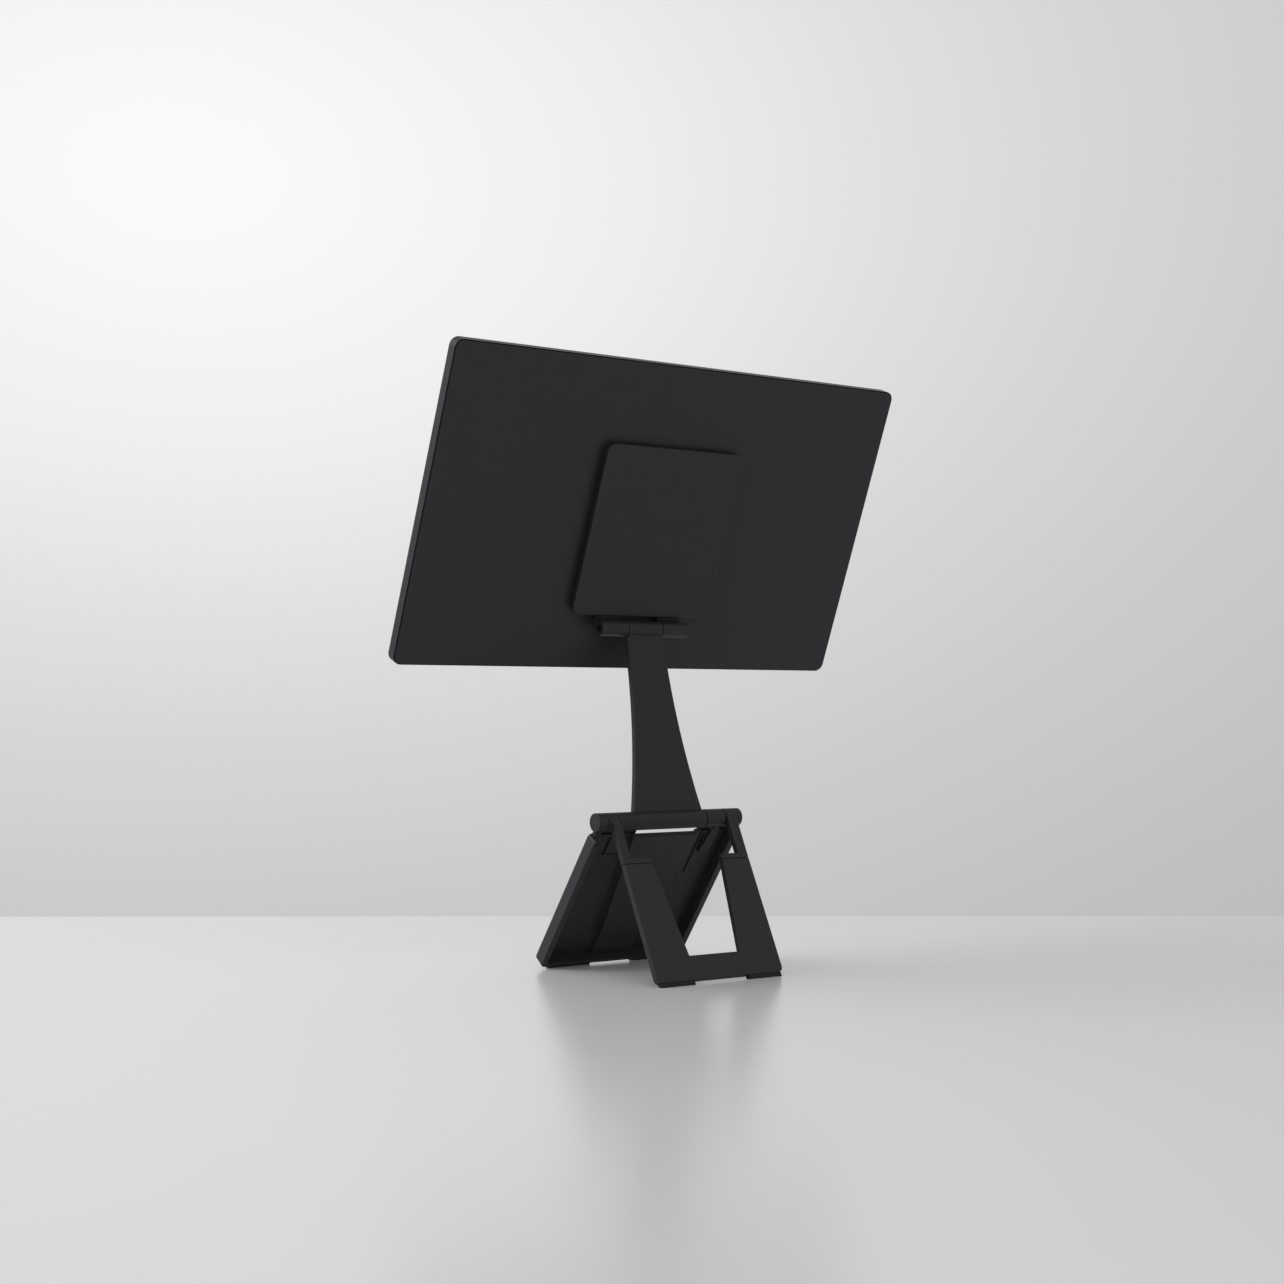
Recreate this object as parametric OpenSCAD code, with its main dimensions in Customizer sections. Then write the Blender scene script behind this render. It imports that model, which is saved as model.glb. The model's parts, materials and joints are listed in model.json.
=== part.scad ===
// Portable monitor held by magnets on a folding easel stand.
// The stand is an A-frame of a deep front tray and a forked back leg, both on one lower
// hinge barrel. A waisted arm rises from the same barrel to a second hinge, and the
// second hinge carries a square magnetic plate that grips the monitor's back.
// The screen faces -Y and +Z is up. The origin is on the floor, in the middle of the footprint.

/* [Stance] */
// Height of the lower hinge axis above the floor
axis_h = 101.3; // [90:0.1:115]
// Back leg's angle from upright
back_tilt = 26.6; // [20:0.1:32]
// Front tray's angle from upright
front_tilt = 36.4; // [30:0.1:40]
// Arm's lean towards the user
arm_lean = 12.6; // [0:0.1:20]
// Screen's tilt back from upright
screen_tilt = 22; // [5:0.1:35]

/* [Lower hinge] */
// Radius of the lower barrel
barrel_r = 6.1; // [5.4:0.1:6.8]
// Radius of the lower pin
pin_r = 2.5; // [2:0.1:3]
// Radial clearance where a knuckle turns on a pin
pin_fit = 0.04; // [0.02:0.01:0.08]
// Gap between two knuckles
knuckle_gap = 0.5; // [0.4:0.1:0.8]
// Length of the front tray's outer knuckle
front_outer_len = 7.3; // [5:0.1:9]
// Length of the back leg's inner knuckle
back_inner_len = 8.3; // [6:0.1:10]
// Length of the arm's sleeve
sleeve_len = 71.4; // [60:0.1:80]
// Length of the front tray's inner knuckle
front_inner_len = 15.4; // [12:0.1:18]
// Length of the back leg's outer knuckle
back_outer_len = 13.5; // [10:0.1:15]
// Clearance on each face of a hinge washer
washer_play = 0.06; // [0.04:0.01:0.1]
// Radius of a hinge washer
washer_r = 4.4; // [4:0.1:4.8]
// Radius of a pin cap
cap_r = 4.1; // [3.5:0.1:4.5]
// Depth of a pin cap
cap_depth = 1.6; // [1.2:0.1:2.5]
// Wall of the arm's bushes
bush_wall = 1.1; // [0.8:0.1:1.4]
// Length of each lower bush
lower_bush_len = 16; // [10:0.5:24]

/* [Back leg] */
// Width of the back leg
back_w = 102.2; // [96:0.1:104]
// How far the back leg sits towards the inner knuckle's side
back_x = -1.9; // [-2.5:0.1:-1]
// Thickness of the back leg
back_t = 4.2; // [3.6:0.1:4.4]
// Distance down the leg to the bracket's seam
back_seam = 32; // [30:0.5:34]
// Gap at a bracket's seam
seam_gap = 0.3; // [0.2:0.05:0.5]
// Height of the bracket's foot above the seam
back_flange_h = 3.7; // [3:0.1:5]
// Half width of the window at the seam
window_top = 29; // [26:0.1:31]
// Half width of the window at its sill
window_low = 20.8; // [19.4:0.1:22]
// Distance down the leg to the window's sill
window_sill = 96.7; // [95:0.1:100]
// Radius of the leg's outer corners at the foot
foot_corner_r = 3.5; // [2:0.1:5]
// Length of a bracket's tongue behind the frame
tongue_len = 14; // [10:0.5:18]
// Thickness of a bracket's tongue
tongue_t = 1.6; // [1.2:0.1:2]
// Clearance round a tongue or a flange in its recess
seat_fit = 0.1; // [0.05:0.01:0.2]

/* [Front tray] */
// Width of the front tray
tray_w = 118; // [116:0.1:120]
// Distance from the hinge plane out to the tray's front face
tray_front = 1.2; // [0.8:0.1:1.6]
// Distance from the hinge plane back to the rim
tray_rim = 7.5; // [6.5:0.1:8.5]
// Distance from the hinge plane back to the pocket's floor
tray_floor = 0.2; // [0.1:0.1:0.8]
// Distance down the tray to its top edge
tray_top = 9.8; // [8.4:0.1:10.6]
// Chamfer on the raised centre's front edge, under the arm's sleeve
sleeve_relief = 2.2; // [1:0.1:2.8]
// Width of the rim
rim_w = 4.9; // [4:0.1:5]
// Thickness of the wall at the foot of the tray
end_wall = 2.4; // [2:0.1:2.6]
// Half width of the raised centre at the top
centre_top = 26.2; // [24:0.1:28]
// Half width of the raised centre at the bottom
centre_low = 17.8; // [16:0.1:18]
// Distance down the tray to the raised centre's lower edge
centre_end = 95.2; // [92:0.1:95.4]
// Distance from the hinge plane back to the raised centre's face
centre_face = 5; // [4.5:0.1:5.4]
// Width of the groove below the raised centre
centre_groove = 0.8; // [0.5:0.1:1.2]
// Half width of the shelf between the raised centre and the foot
shelf_half = 16.4; // [14:0.1:17]
// Distance from the hinge plane back to the shelf's face
shelf_face = 2.6; // [2:0.1:2.7]
// Radius of the bottom corners
tray_corner_r = 3.5; // [2:0.1:5]
// Radius of the top corners
tray_top_r = 3; // [2:0.1:4]
// Distance down the tray to the lower end of a front bracket's leaf
front_leaf_end = 27.4; // [25:0.1:27.8]
// Distance down the tray to a front bracket's seam
front_seam = 47; // [42:0.5:48]
// Thickness of a front bracket's plate
front_plate_t = 1.4; // [1.2:0.1:1.4]
// Distance from the hinge plane back to the face of a front bracket's plate
front_plate_face = 1; // [0.8:0.05:1.1]
// Width of the groove below a front bracket
front_groove = 0.6; // [0.4:0.1:1]
// Distance from the hinge plane back to the face of a bracket's leaf
front_leaf_face = 2.8; // [2.4:0.1:3.2]
// Distance of the outer bracket's plate from the middle, beside the leaf
outer_plate_in = 39; // [36:0.1:40]
// Distance of the outer bracket's foot from the middle
outer_foot_in = 26.4; // [25.6:0.1:30]
// Distance of the inner bracket's plate from the middle
inner_plate_in = 33.4; // [30:0.1:34]
// Distance of the outer bracket's slot from the middle
outer_slot_x = 41; // [40.5:0.1:42]
// Width of the outer bracket's slot
outer_slot_w = 2.4; // [1.5:0.1:3]
// Distance of the inner bracket's slot from the middle
inner_slot_x = 34.9; // [34.6:0.1:35.4]
// Width of the inner bracket's slot
inner_slot_w = 1.4; // [1:0.1:2]
// Distance down the tray to the top of the slots
slot_top = 12; // [10:0.5:15]
// Distance down the tray to the end of the outer bracket's upright
upright_end = 14; // [12:0.5:16]
// Width of the outer bracket's upright
upright_w = 5; // [4:0.1:5.2]
// Radius of a dowel between a front bracket and the tray
dowel_r = 1.2; // [1:0.1:1.5]

/* [Feet] */
// Least distance from the metal to the floor
foot_proud = 1.1; // [0.8:0.1:1.6]
// Thickness of a back foot
back_foot_t = 3.4; // [3:0.1:3.6]
// Length of a back foot
back_foot_len = 27; // [20:0.5:32]
// Thickness of a front foot
front_foot_t = 3.8; // [3:0.1:4.2]
// Length of a front foot
front_foot_len = 33; // [25:0.5:36]
// Distance from the back leg's side to the end of a foot
back_foot_inset = 2.2; // [1.5:0.1:4]
// Distance from the tray's side to the end of a foot
front_foot_inset = 8; // [5:0.1:10]

/* [Arm] */
// Distance between the two hinge axes
arm_len = 130.9; // [120:0.1:140]
// Thickness of the arm
arm_t = 4; // [3:0.1:5]
// Width of the arm where it leaves the lower barrel
arm_low_w = 56; // [50:0.1:60]
// Width of the arm below the upper barrel
arm_high_w = 30; // [28.6:0.1:34]
// Gap between the arm's shoulders and the upper barrel
shoulder_gap = 1; // [0.6:0.1:2]

/* [Upper hinge] */
// Radius of the upper barrel
upper_r = 5.35; // [5:0.05:6]
// Radius of the upper pin
upper_pin_r = 2.2; // [1.8:0.1:2.6]
// Length of the arm's upper knuckle
upper_mid_len = 28; // [24:0.1:28.4]
// Length of each of the plate's knuckles
upper_side_len = 21.4; // [16:0.1:24]

/* [Magnetic plate] */
// Width of the plate
plate_w = 112.8; // [104:0.1:120]
// Height of the plate
plate_h = 118; // [108:0.1:126]
// Radius of the plate's corners
plate_corner_r = 6.5; // [4:0.1:10]
// Distance from the upper axis up to the plate's lower edge
plate_low = 7.2; // [7:0.1:9]
// Distance from the upper axis forward to the plate's back
plate_back = 4.75; // [4.5:0.05:5.5]
// Thickness of the plate's metal
plate_t = 2.2; // [1.8:0.1:2.6]
// Chamfer on the plate's back edge
plate_chamfer = 0.5; // [0.3:0.1:0.8]
// Thickness of the magnet carrier
carrier_t = 3.4; // [3.2:0.1:4]
// Inset of the carrier from the plate's edge
carrier_inset = 0.6; // [0.4:0.1:1]
// Thickness of the rubber face
pad_t = 0.75; // [0.6:0.05:1]
// Radius of a magnet
magnet_r = 6; // [5:0.1:7]
// Thickness of a magnet
magnet_t = 2.4; // [2:0.1:2.6]
// Distance of the magnets from the plate's edge
magnet_inset = 14; // [12:0.5:18]
// Height of a hinge leaf behind the plate
leaf_h = 24; // [18:0.5:30]
// Thickness of a hinge leaf
leaf_t = 2; // [1.6:0.1:2.2]

/* [Monitor case] */
// Width of the monitor
case_w = 359.6; // [350:0.1:366]
// Height of the monitor
case_h = 212.2; // [204:0.1:218]
// Thickness of the monitor
case_t = 8.1; // [8:0.1:9]
// Radius of the monitor's corners
case_corner_r = 6; // [4:0.1:9]
// Chamfer round the monitor's back
case_chamfer = 0.7; // [0.5:0.1:1.2]
// Distance from the upper axis down to the monitor's lower edge
case_drop = 32.7; // [24:0.1:36]
// Thickness of the case's side wall
wall = 1.4; // [1.2:0.1:2]
// Thickness of the case's back
back_wall = 1.2; // [1:0.1:1.4]
// Gap round the cover glass
glass_gap = 0.15; // [0.1:0.05:0.3]
// Thickness of the cover glass
glass_t = 1.1; // [0.9:0.1:1.3]

/* [Display module] */
// Border between the case's side and the display panel
border_side = 6.55; // [5.5:0.05:9]
// Sum of the borders above and below the display panel
border_sum = 15.7; // [13:0.1:26]
// Thickness of the display panel
panel_t = 0.75; // [0.6:0.05:0.9]
// Thickness of the light guide
guide_t = 1.2; // [1:0.05:1.3]
// Thickness of the frame's sheet behind the light guide
frame_sheet = 0.4; // [0.3:0.05:0.5]
// Lift of the panel above the middle of the case
panel_lift = 2.5; // [0:0.1:4]
// Height of the row of lamps below the light guide
lamp_h = 3; // [2:0.1:4]

/* [Electronics] */
// Width of the main board
board_w = 60; // [50:0.5:70]
// Height of the main board
board_h = 140; // [138:0.5:150]
// Thickness of the main board
board_t = 1; // [0.8:0.1:1.2]
// Distance from the monitor's lower edge to the board
board_low = 24; // [20:0.5:26]
// Height of the board's studs
stud_h = 1.1; // [1:0.05:1.2]
// Gap between the board and the case's side wall
board_gap = 1.6; // [1:0.1:2]
// Height of the chips on the board
chip_t = 1; // [0.6:0.1:1.1]
// Side of the scaler chip
scaler_w = 16; // [12:0.5:18]
// Width of the memory chip
memory_w = 10; // [8:0.5:12]
// Height of the memory chip
memory_h = 12; // [10:0.5:14]
// Side of a coil
coil_w = 5; // [4:0.5:6]
// Distance between two coils
coil_pitch = 17; // [14:0.5:18]
// Side of a driver chip
driver_w = 6; // [4:0.5:7]
// Distance between two driver chips
driver_pitch = 11; // [9:0.5:12]
// Radius of a stud under the board
stud_r = 2.2; // [1.8:0.1:2.6]
// Distance of a stud from the board's inner corners
stud_inset = 4.5; // [4:0.1:6]
// Distance of an outer stud from the board's outer side
stud_side = 12; // [11:0.5:14]
// Height of the first power and signal socket above the lower edge
socket_low = 40; // [36:0.5:44]
// Distance between two sockets
socket_pitch = 17; // [15:0.5:20]
// Width of an oval socket's mouth
oval_w = 8.9; // [8.6:0.1:9.2]
// Height of every socket's mouth
mouth_h = 3.2; // [3:0.1:3.3]
// Width of the picture socket's mouth
picture_w = 11.2; // [10.6:0.1:11.6]
// Depth of a socket
socket_depth = 7.4; // [6.5:0.1:8]
// Wall of a socket's shell
socket_wall = 0.3; // [0.25:0.05:0.4]
// Gap between a socket and its window in the case
window_gap = 0.15; // [0.1:0.05:0.2]
// Width of a switch behind a button
switch_w = 6; // [5:0.1:7]
// Depth of a switch
switch_depth = 3; // [2.5:0.1:3.5]
// Thickness of a switch
switch_t = 2.8; // [2.4:0.1:3]
// Width of the panel's flat cable
cable_w = 22; // [16:0.5:28]
// Thickness of the panel's flat cable
cable_t = 0.2; // [0.15:0.05:0.3]
// Distance from the board to the cable's slot in the frame
cable_run = 14; // [10:0.5:18]
// Length of the cable that lies on the board
cable_lap = 8; // [6:0.5:10]
// Height of the cable above the board's lower edge
cable_rise = 60; // [50:0.5:90]
// Width of a loudspeaker
speaker_w = 34; // [28:0.5:40]
// Height of a loudspeaker
speaker_h = 13; // [10:0.5:15]
// Thickness of a loudspeaker
speaker_t = 3; // [2.5:0.1:3.2]
// Distance of the loudspeakers from the middle
speaker_x = 88; // [80:0.5:96]
// Radius of a sound hole
sound_r = 0.65; // [0.5:0.05:0.8]
// Number of sound holes to a loudspeaker
sound_n = 12; // [8:1:13]
// Distance between two sound holes
sound_pitch = 2.4; // [2.2:0.1:2.6]

/* [Buttons] */
// Length of the power button
power_len = 8; // [7:0.1:10]
// Length of the menu button
menu_len = 14; // [12:0.1:16]
// Width of both buttons
button_w = 2.6; // [2.2:0.1:2.8]
// How far a button stands out of the case
button_out = 0.6; // [0.5:0.05:0.8]
// Travel of a button
button_travel = 0.3; // [0.2:0.05:0.35]
// Gap round a button in its window
button_gap = 0.3; // [0.25:0.01:0.35]
// Height of the menu button above the monitor's lower edge
menu_z = 118; // [114:0.5:122]
// Height of the power button above the monitor's lower edge
power_z = 140; // [136:0.5:144]

/* [Screws] */
// Radius of a screw's head
head_r = 1.5; // [1.3:0.05:1.7]
// Height of a screw's head
head_h = 0.8; // [0.6:0.05:0.9]
// Radius of a screw's shank
shank_r = 0.8; // [0.7:0.05:0.9]
// Clearance round a screw
screw_fit = 0.05; // [0.03:0.01:0.1]

/* [Hidden] */
$fn = 64;
round_fn = 360;
hull_fn = 32;
tiny = 0.01;

// Knuckle ends along X, from the +X end of the barrel to its -X end
barrel_len = front_outer_len + back_inner_len + sleeve_len + front_inner_len
    + back_outer_len + 4 * knuckle_gap;
front_outer_x = [barrel_len / 2 - front_outer_len, barrel_len / 2];
back_inner_x = [front_outer_x[0] - knuckle_gap - back_inner_len, front_outer_x[0] - knuckle_gap];
sleeve_x = [back_inner_x[0] - knuckle_gap - sleeve_len, back_inner_x[0] - knuckle_gap];
front_inner_x = [sleeve_x[0] - knuckle_gap - front_inner_len, sleeve_x[0] - knuckle_gap];
back_outer_x = [front_inner_x[0] - knuckle_gap - back_outer_len, front_inner_x[0] - knuckle_gap];
washer_t = knuckle_gap - 2 * washer_play;

// Where a line square to the hinge plane at distance y meets the floor, measured down each leg
function back_floor(y) = (axis_h + y * sin(back_tilt)) / cos(back_tilt);
function front_floor(y) = (axis_h - y * sin(front_tilt)) / cos(front_tilt);
back_in = barrel_r - back_t;
back_end = back_floor(back_in) - foot_proud / cos(back_tilt);
tray_end = front_floor(tray_rim) - foot_proud / cos(front_tilt);
foot_edge = 0.3;
back_foot_out = barrel_r - foot_edge;
front_foot_out = tray_rim - foot_edge;

// The footprint's middle is the origin, so the hinge axis stands a little behind it
reach_back = back_floor(back_foot_out) * sin(back_tilt) + back_foot_out * cos(back_tilt);
reach_front = tray_end * sin(front_tilt) + tray_front * cos(front_tilt);
axis_y = (reach_front - reach_back) / 2;

// Sides of the back leg and of its window
back_left = back_x + back_w / 2;
back_right = back_x - back_w / 2;
strut_left = [back_inner_x[0], back_left];
strut_right = [back_right, back_outer_x[1]];
tongue_inset = 3;
function window_half(s) = window_top
    + (window_low - window_top) * (s - back_seam) / (window_sill - back_seam);
function centre_half(s) = centre_top
    + (centre_low - centre_top) * (s - tray_top) / (centre_end - tray_top);
rim_in = tray_w / 2 - rim_w;
front_plate_back = front_plate_face - front_plate_t;
bush_r = pin_r + bush_wall;
upper_bush_r = upper_pin_r + bush_wall;
arm_high_s = arm_len - upper_r - shoulder_gap;
arm_rise = arm_high_s - barrel_r;
arm_draw = (arm_low_w - arm_high_w) / 2;
arm_curve_r = (arm_rise * arm_rise + arm_draw * arm_draw) / (2 * arm_draw);

// Layers of the magnetic plate and the monitor, as distances in front of the upper axis
carrier_y = plate_back + plate_t;
pad_y = carrier_y + carrier_t;
case_y = pad_y + pad_t;
upper_side_x = upper_mid_len / 2 + knuckle_gap;
upper_end_x = upper_side_x + upper_side_len;
leaf_back = carrier_y;
leaf_fit = 0.15;

// Layers of the monitor, as depths in front of its back
glass_d = case_t - glass_t;
panel_d = glass_d - panel_t;
guide_d = panel_d - guide_t;
sheet_d = guide_d - frame_sheet;
board_d = back_wall + stud_h;
socket_d = board_d + board_t / 2;
inner_w = case_w - 2 * wall;
panel_w = case_w - 2 * border_side;
panel_h = case_h - border_sum;
panel_z = case_h / 2 + panel_lift;
board_x = -inner_w / 2 + board_gap;
socket_x = -case_w / 2 + 0.2;
button_in = -case_w / 2 + wall;
flange_in = 0.2;
flange_t = 0.8;
switch_x = button_in + flange_in + flange_t + button_travel + 0.1;
picture_z = socket_low + 2 * socket_pitch;
cable_x = board_x + board_w + cable_run;
cable_z = board_low + cable_rise;

module at_axis() {
    translate([0, axis_y, axis_h]) children();
}

// Local frames: X along the hinge, Z up the part, the barrel's axis at the origin
module front_local() {
    at_axis() rotate([-front_tilt, 0, 0]) children();
}

module back_local() {
    at_axis() rotate([back_tilt, 0, 0]) children();
}

module arm_local() {
    at_axis() rotate([arm_lean, 0, 0]) children();
}

module plate_local() {
    arm_local() translate([0, 0, arm_len]) rotate([-arm_lean - screen_tilt, 0, 0]) children();
}

// The monitor's frame has its origin at the middle of the lower edge of its back
module case_local() {
    plate_local() translate([0, -case_y, -case_drop]) children();
}

// Extrudes an outline drawn in X and Z from y0 to y1
module slab(y0, y1) {
    translate([0, y1, 0]) rotate([90, 0, 0]) linear_extrude(y1 - y0) children();
}

// Extrudes an outline drawn in X and Z from depth d0 to depth d1 in front of the monitor's back
module layer(d0, d1) {
    slab(-d1, -d0) children();
}

// A straight round bar along X
module bar(x0, x1, r) {
    translate([x0, 0, 0]) rotate([0, 90, 0]) cylinder(r = r, h = x1 - x0);
}

// A knuckle with a small round at both ends
module knuckle(x0, x1, r, round_r = 0.5) {
    translate([x0, 0, 0]) rotate([0, 90, 0]) rotate_extrude() union() {
        square([r - round_r, x1 - x0]);
        translate([0, round_r]) square([r, x1 - x0 - 2 * round_r]);
        translate([r - round_r, round_r]) circle(r = round_r);
        translate([r - round_r, x1 - x0 - round_r]) circle(r = round_r);
    }
}

// A rectangle with round corners, centred on X, standing on z0
module panel_outline(w, h, r, z0 = 0) {
    translate([-w / 2 + r, z0]) square([w - 2 * r, h]);
    translate([-w / 2, z0 + r]) square([w, h - 2 * r]);
    for (x = [-w / 2 + r, w / 2 - r], z = [z0 + r, z0 + h - r]) translate([x, z]) circle(r = r);
}

// A stadium along Z, centred at the origin
module stadium(len, wide) {
    for (z = [-1, 1]) translate([0, z * (len - wide) / 2]) circle(r = wide / 2);
    translate([-wide / 2, -(len - wide) / 2]) square([wide, len - wide]);
}

// A leg's outline with its foot corners rounded by r and its top corners by top_r
module leg_outline(x0, x1, top, end, r, top_r = 0) {
    translate([x0, -end + r]) square([x1 - x0, end - r - top - top_r]);
    translate([x0 + r, -end]) square([x1 - x0 - 2 * r, r + tiny]);
    for (x = [x0 + r, x1 - r]) translate([x, -end + r]) circle(r = r);
    if (top_r > 0) {
        translate([x0 + top_r, -top - top_r - tiny]) square([x1 - x0 - 2 * top_r, top_r + tiny]);
        for (x = [x0 + top_r, x1 - top_r]) translate([x, -top - top_r]) circle(r = top_r);
    }
}

// A flat-headed screw with its head's face at y = 0 and its shank running to +Y
module flat_screw(len) {
    rotate([-90, 0, 0]) union() {
        cylinder(r = head_r, h = head_h);
        cylinder(r = shank_r, h = len);
    }
}

// The room that a flat-headed screw needs
module screw_room(len) {
    rotate([-90, 0, 0]) translate([0, 0, -tiny]) {
        cylinder(r = head_r + screw_fit, h = head_h + screw_fit + tiny);
        cylinder(r = shank_r + screw_fit, h = len + screw_fit + tiny);
    }
}

// FRONT TRAY

upright_x = [front_outer_x[0] + 0.3, front_outer_x[0] + 0.3 + upright_w];
dowel_s = front_seam - 7;
dowel_len = front_plate_t - 0.1;

function foot_in(side) = side > 0 ? outer_foot_in : inner_plate_in;
function dowel_x(side) = [side * (rim_in - 6), side * (foot_in(side) + 5)];

// A block of the tray's outline from x0 to x1 on one side and from s0 to s1 down the tray
module side_block(side, x0, x1, s0, s1) {
    mirror([side > 0 ? 0 : 1, 0]) translate([x0, -s1]) square([x1 - x0, s1 - s0]);
}

// Outline of a front bracket's plate, or of its recess when it is grown
module front_plate_outline(side, grow = 0) {
    upper_in = side > 0 ? outer_plate_in : inner_plate_in;
    x_out = rim_in - seat_fit + grow;
    side_block(side, upper_in - grow, x_out, tray_top - grow, front_seam + grow);
    side_block(side, foot_in(side) - grow, x_out, front_leaf_end - grow, front_seam + grow);
}

module front_tray() {
    color([0.16, 0.15, 0.16]) front_local() difference() {
        union() {
            slab(-tray_front, tray_floor) tray_outline();
            slab(-tray_front, tray_rim) difference() {
                tray_outline();
                translate([-rim_in, -tray_end + end_wall]) square([2 * rim_in, tray_end]);
            }
            slab(-tray_front, centre_face) polygon([
                [-centre_half(centre_end), -centre_end], [centre_half(centre_end), -centre_end],
                [centre_half(tray_top), -tray_top], [-centre_half(tray_top), -tray_top]
            ]);
            slab(-tray_front, shelf_face) translate([-shelf_half, -tray_end + tiny])
                square([2 * shelf_half, tray_end - centre_end - centre_groove]);
        }
        for (side = [-1, 1]) {
            slab(front_plate_back - seat_fit, tray_rim) front_plate_outline(side, seat_fit);
            slab(front_plate_back - seat_fit, tray_rim)
                side_block(side, foot_in(side), rim_in, front_seam, front_seam + front_groove);
            for (x = dowel_x(side)) translate([x, front_plate_back - seat_fit - 0.5, -dowel_s])
                rotate([-90, 0, 0]) cylinder(r = dowel_r, h = 1);
        }
        // The notch in the rim that takes the outer bracket's upright
        slab(front_plate_back - seat_fit, tray_rim + 1) side_block(1, rim_in - 1,
            upright_x[1] + seat_fit, tray_top - 1, upright_end + seat_fit);
        // The chamfer that clears the arm's sleeve
        translate([-centre_top - 1, -tray_front, -tray_top]) rotate([90, 0, 90])
            linear_extrude(2 * centre_top + 2) polygon([
                [-1, -sleeve_relief - 1], [sleeve_relief + 1, 1], [-1, 1]
            ]);
    }
}

module tray_outline() {
    leg_outline(-tray_w / 2, tray_w / 2, tray_top, tray_end, tray_corner_r, tray_top_r);
}

// Bores of a front bracket: the pin's, the dowels' and the slot beside the leaf
module front_bracket_bores(side, knuckle_x, slot_x, slot_w) {
    bar(knuckle_x[0] - tiny, knuckle_x[1] + tiny, pin_r);
    for (x = dowel_x(side)) translate([x, front_plate_back - 1, -dowel_s])
        rotate([-90, 0, 0]) cylinder(r = dowel_r, h = 2);
    slab(front_plate_back - 1, front_leaf_face + 1)
        side_block(side, slot_x, slot_x + slot_w, slot_top, front_leaf_end);
}

module front_bracket_outer() {
    color([0.2, 0.19, 0.19]) front_local() difference() {
        union() {
            knuckle(front_outer_x[0], front_outer_x[1], barrel_r);
            slab(front_plate_back, front_leaf_face)
                side_block(1, upright_x[0], upright_x[1], 0, upright_end);
            slab(front_plate_back, front_plate_face) front_plate_outline(1);
        }
        front_bracket_bores(1, front_outer_x, outer_slot_x, outer_slot_w);
        bar(front_outer_x[1] - cap_depth, front_outer_x[1] + tiny, cap_r);
    }
}

// The inner bracket's leaf widens down the tray and has a round upper corner
module front_bracket_inner() {
    leaf_draw = 3;
    leaf_corner = 2;
    leaf_out = front_inner_x[0];
    leaf_low = -inner_slot_x - inner_slot_w;
    leaf_high = leaf_low - leaf_draw;
    color([0.2, 0.19, 0.19]) front_local() difference() {
        union() {
            knuckle(front_inner_x[0], front_inner_x[1], barrel_r);
            slab(front_plate_back, front_leaf_face) polygon([
                [leaf_out, -front_leaf_end], [leaf_low, -front_leaf_end],
                [leaf_high, -barrel_r - leaf_corner], [leaf_high - leaf_corner, -barrel_r],
                [leaf_high - leaf_corner, 0], [leaf_out, 0]
            ]);
            slab(front_plate_back, front_plate_face) front_plate_outline(-1);
        }
        front_bracket_bores(-1, front_inner_x, inner_slot_x, inner_slot_w);
    }
}

// Blind dowels that hold the front brackets in the tray
module front_bracket_dowels() {
    color([0.4, 0.4, 0.42]) front_local() for (side = [-1, 1], x = dowel_x(side))
        translate([x, front_plate_back - seat_fit - 0.4, -dowel_s])
            rotate([-90, 0, 0]) cylinder(r = dowel_r - screw_fit, h = dowel_len);
}

// A rubber foot under the end wall, cut level with the floor
module front_foot(side) {
    x_out = side * (tray_w / 2 - front_foot_inset);
    x_in = x_out - side * front_foot_len;
    y0 = front_foot_out - front_foot_t;
    color([0.06, 0.06, 0.06]) front_local() translate([min(x_in, x_out), 0, 0])
        rotate([90, 0, 90]) linear_extrude(front_foot_len) polygon([
            [y0, -tray_end], [front_foot_out, -tray_end],
            [front_foot_out, -front_floor(front_foot_out)], [y0, -front_floor(y0)]
        ]);
}

module front_foot_left() {
    front_foot(1);
}

module front_foot_right() {
    front_foot(-1);
}

module lower_pin() {
    color([0.6, 0.6, 0.62]) at_axis()
        bar(-barrel_len / 2 + cap_depth, barrel_len / 2 - cap_depth, pin_r);
}

module hinge_washers() {
    color([0.75, 0.68, 0.45]) at_axis()
        for (x = [front_outer_x[0], back_inner_x[0], sleeve_x[0], front_inner_x[0]]) difference() {
            bar(x - knuckle_gap + washer_play, x - washer_play, washer_r);
            bar(x - knuckle_gap, x, pin_r + pin_fit);
        }
}

module pin_cap_front() {
    color([0.2, 0.19, 0.19]) at_axis()
        bar(barrel_len / 2 - cap_depth, barrel_len / 2, cap_r - screw_fit);
}

// BACK LEG

tongue_x_left = [window_half(back_seam) + back_x + tongue_inset, back_left - tongue_inset];
tongue_x_right = [back_right + tongue_inset, back_x - window_half(back_seam) - tongue_inset];
back_screw_s = back_seam + tongue_len / 2;
function back_screw_x(span) = [span[0] + 3.6, span[1] - 3.6];

module tongue_outline(span, grow) {
    translate([span[0] - grow, -back_seam - tongue_len - grow])
        square([span[1] - span[0] + 2 * grow, tongue_len + grow + seam_gap]);
}

module back_leg_frame() {
    color([0.17, 0.16, 0.16]) back_local() difference() {
        slab(back_in, barrel_r) difference() {
            leg_outline(back_right, back_left, back_seam + seam_gap, back_end, foot_corner_r);
            polygon([
                [back_x - window_half(window_sill), -window_sill],
                [back_x + window_half(window_sill), -window_sill],
                [back_x + window_half(0), 0], [back_x - window_half(0), 0]
            ]);
        }
        for (span = [tongue_x_left, tongue_x_right]) {
            slab(back_in - tiny, back_in + tongue_t + seat_fit) tongue_outline(span, seat_fit);
            for (x = back_screw_x(span)) translate([x, back_in, -back_screw_s])
                screw_room(back_t - 0.8);
        }
    }
}

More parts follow.
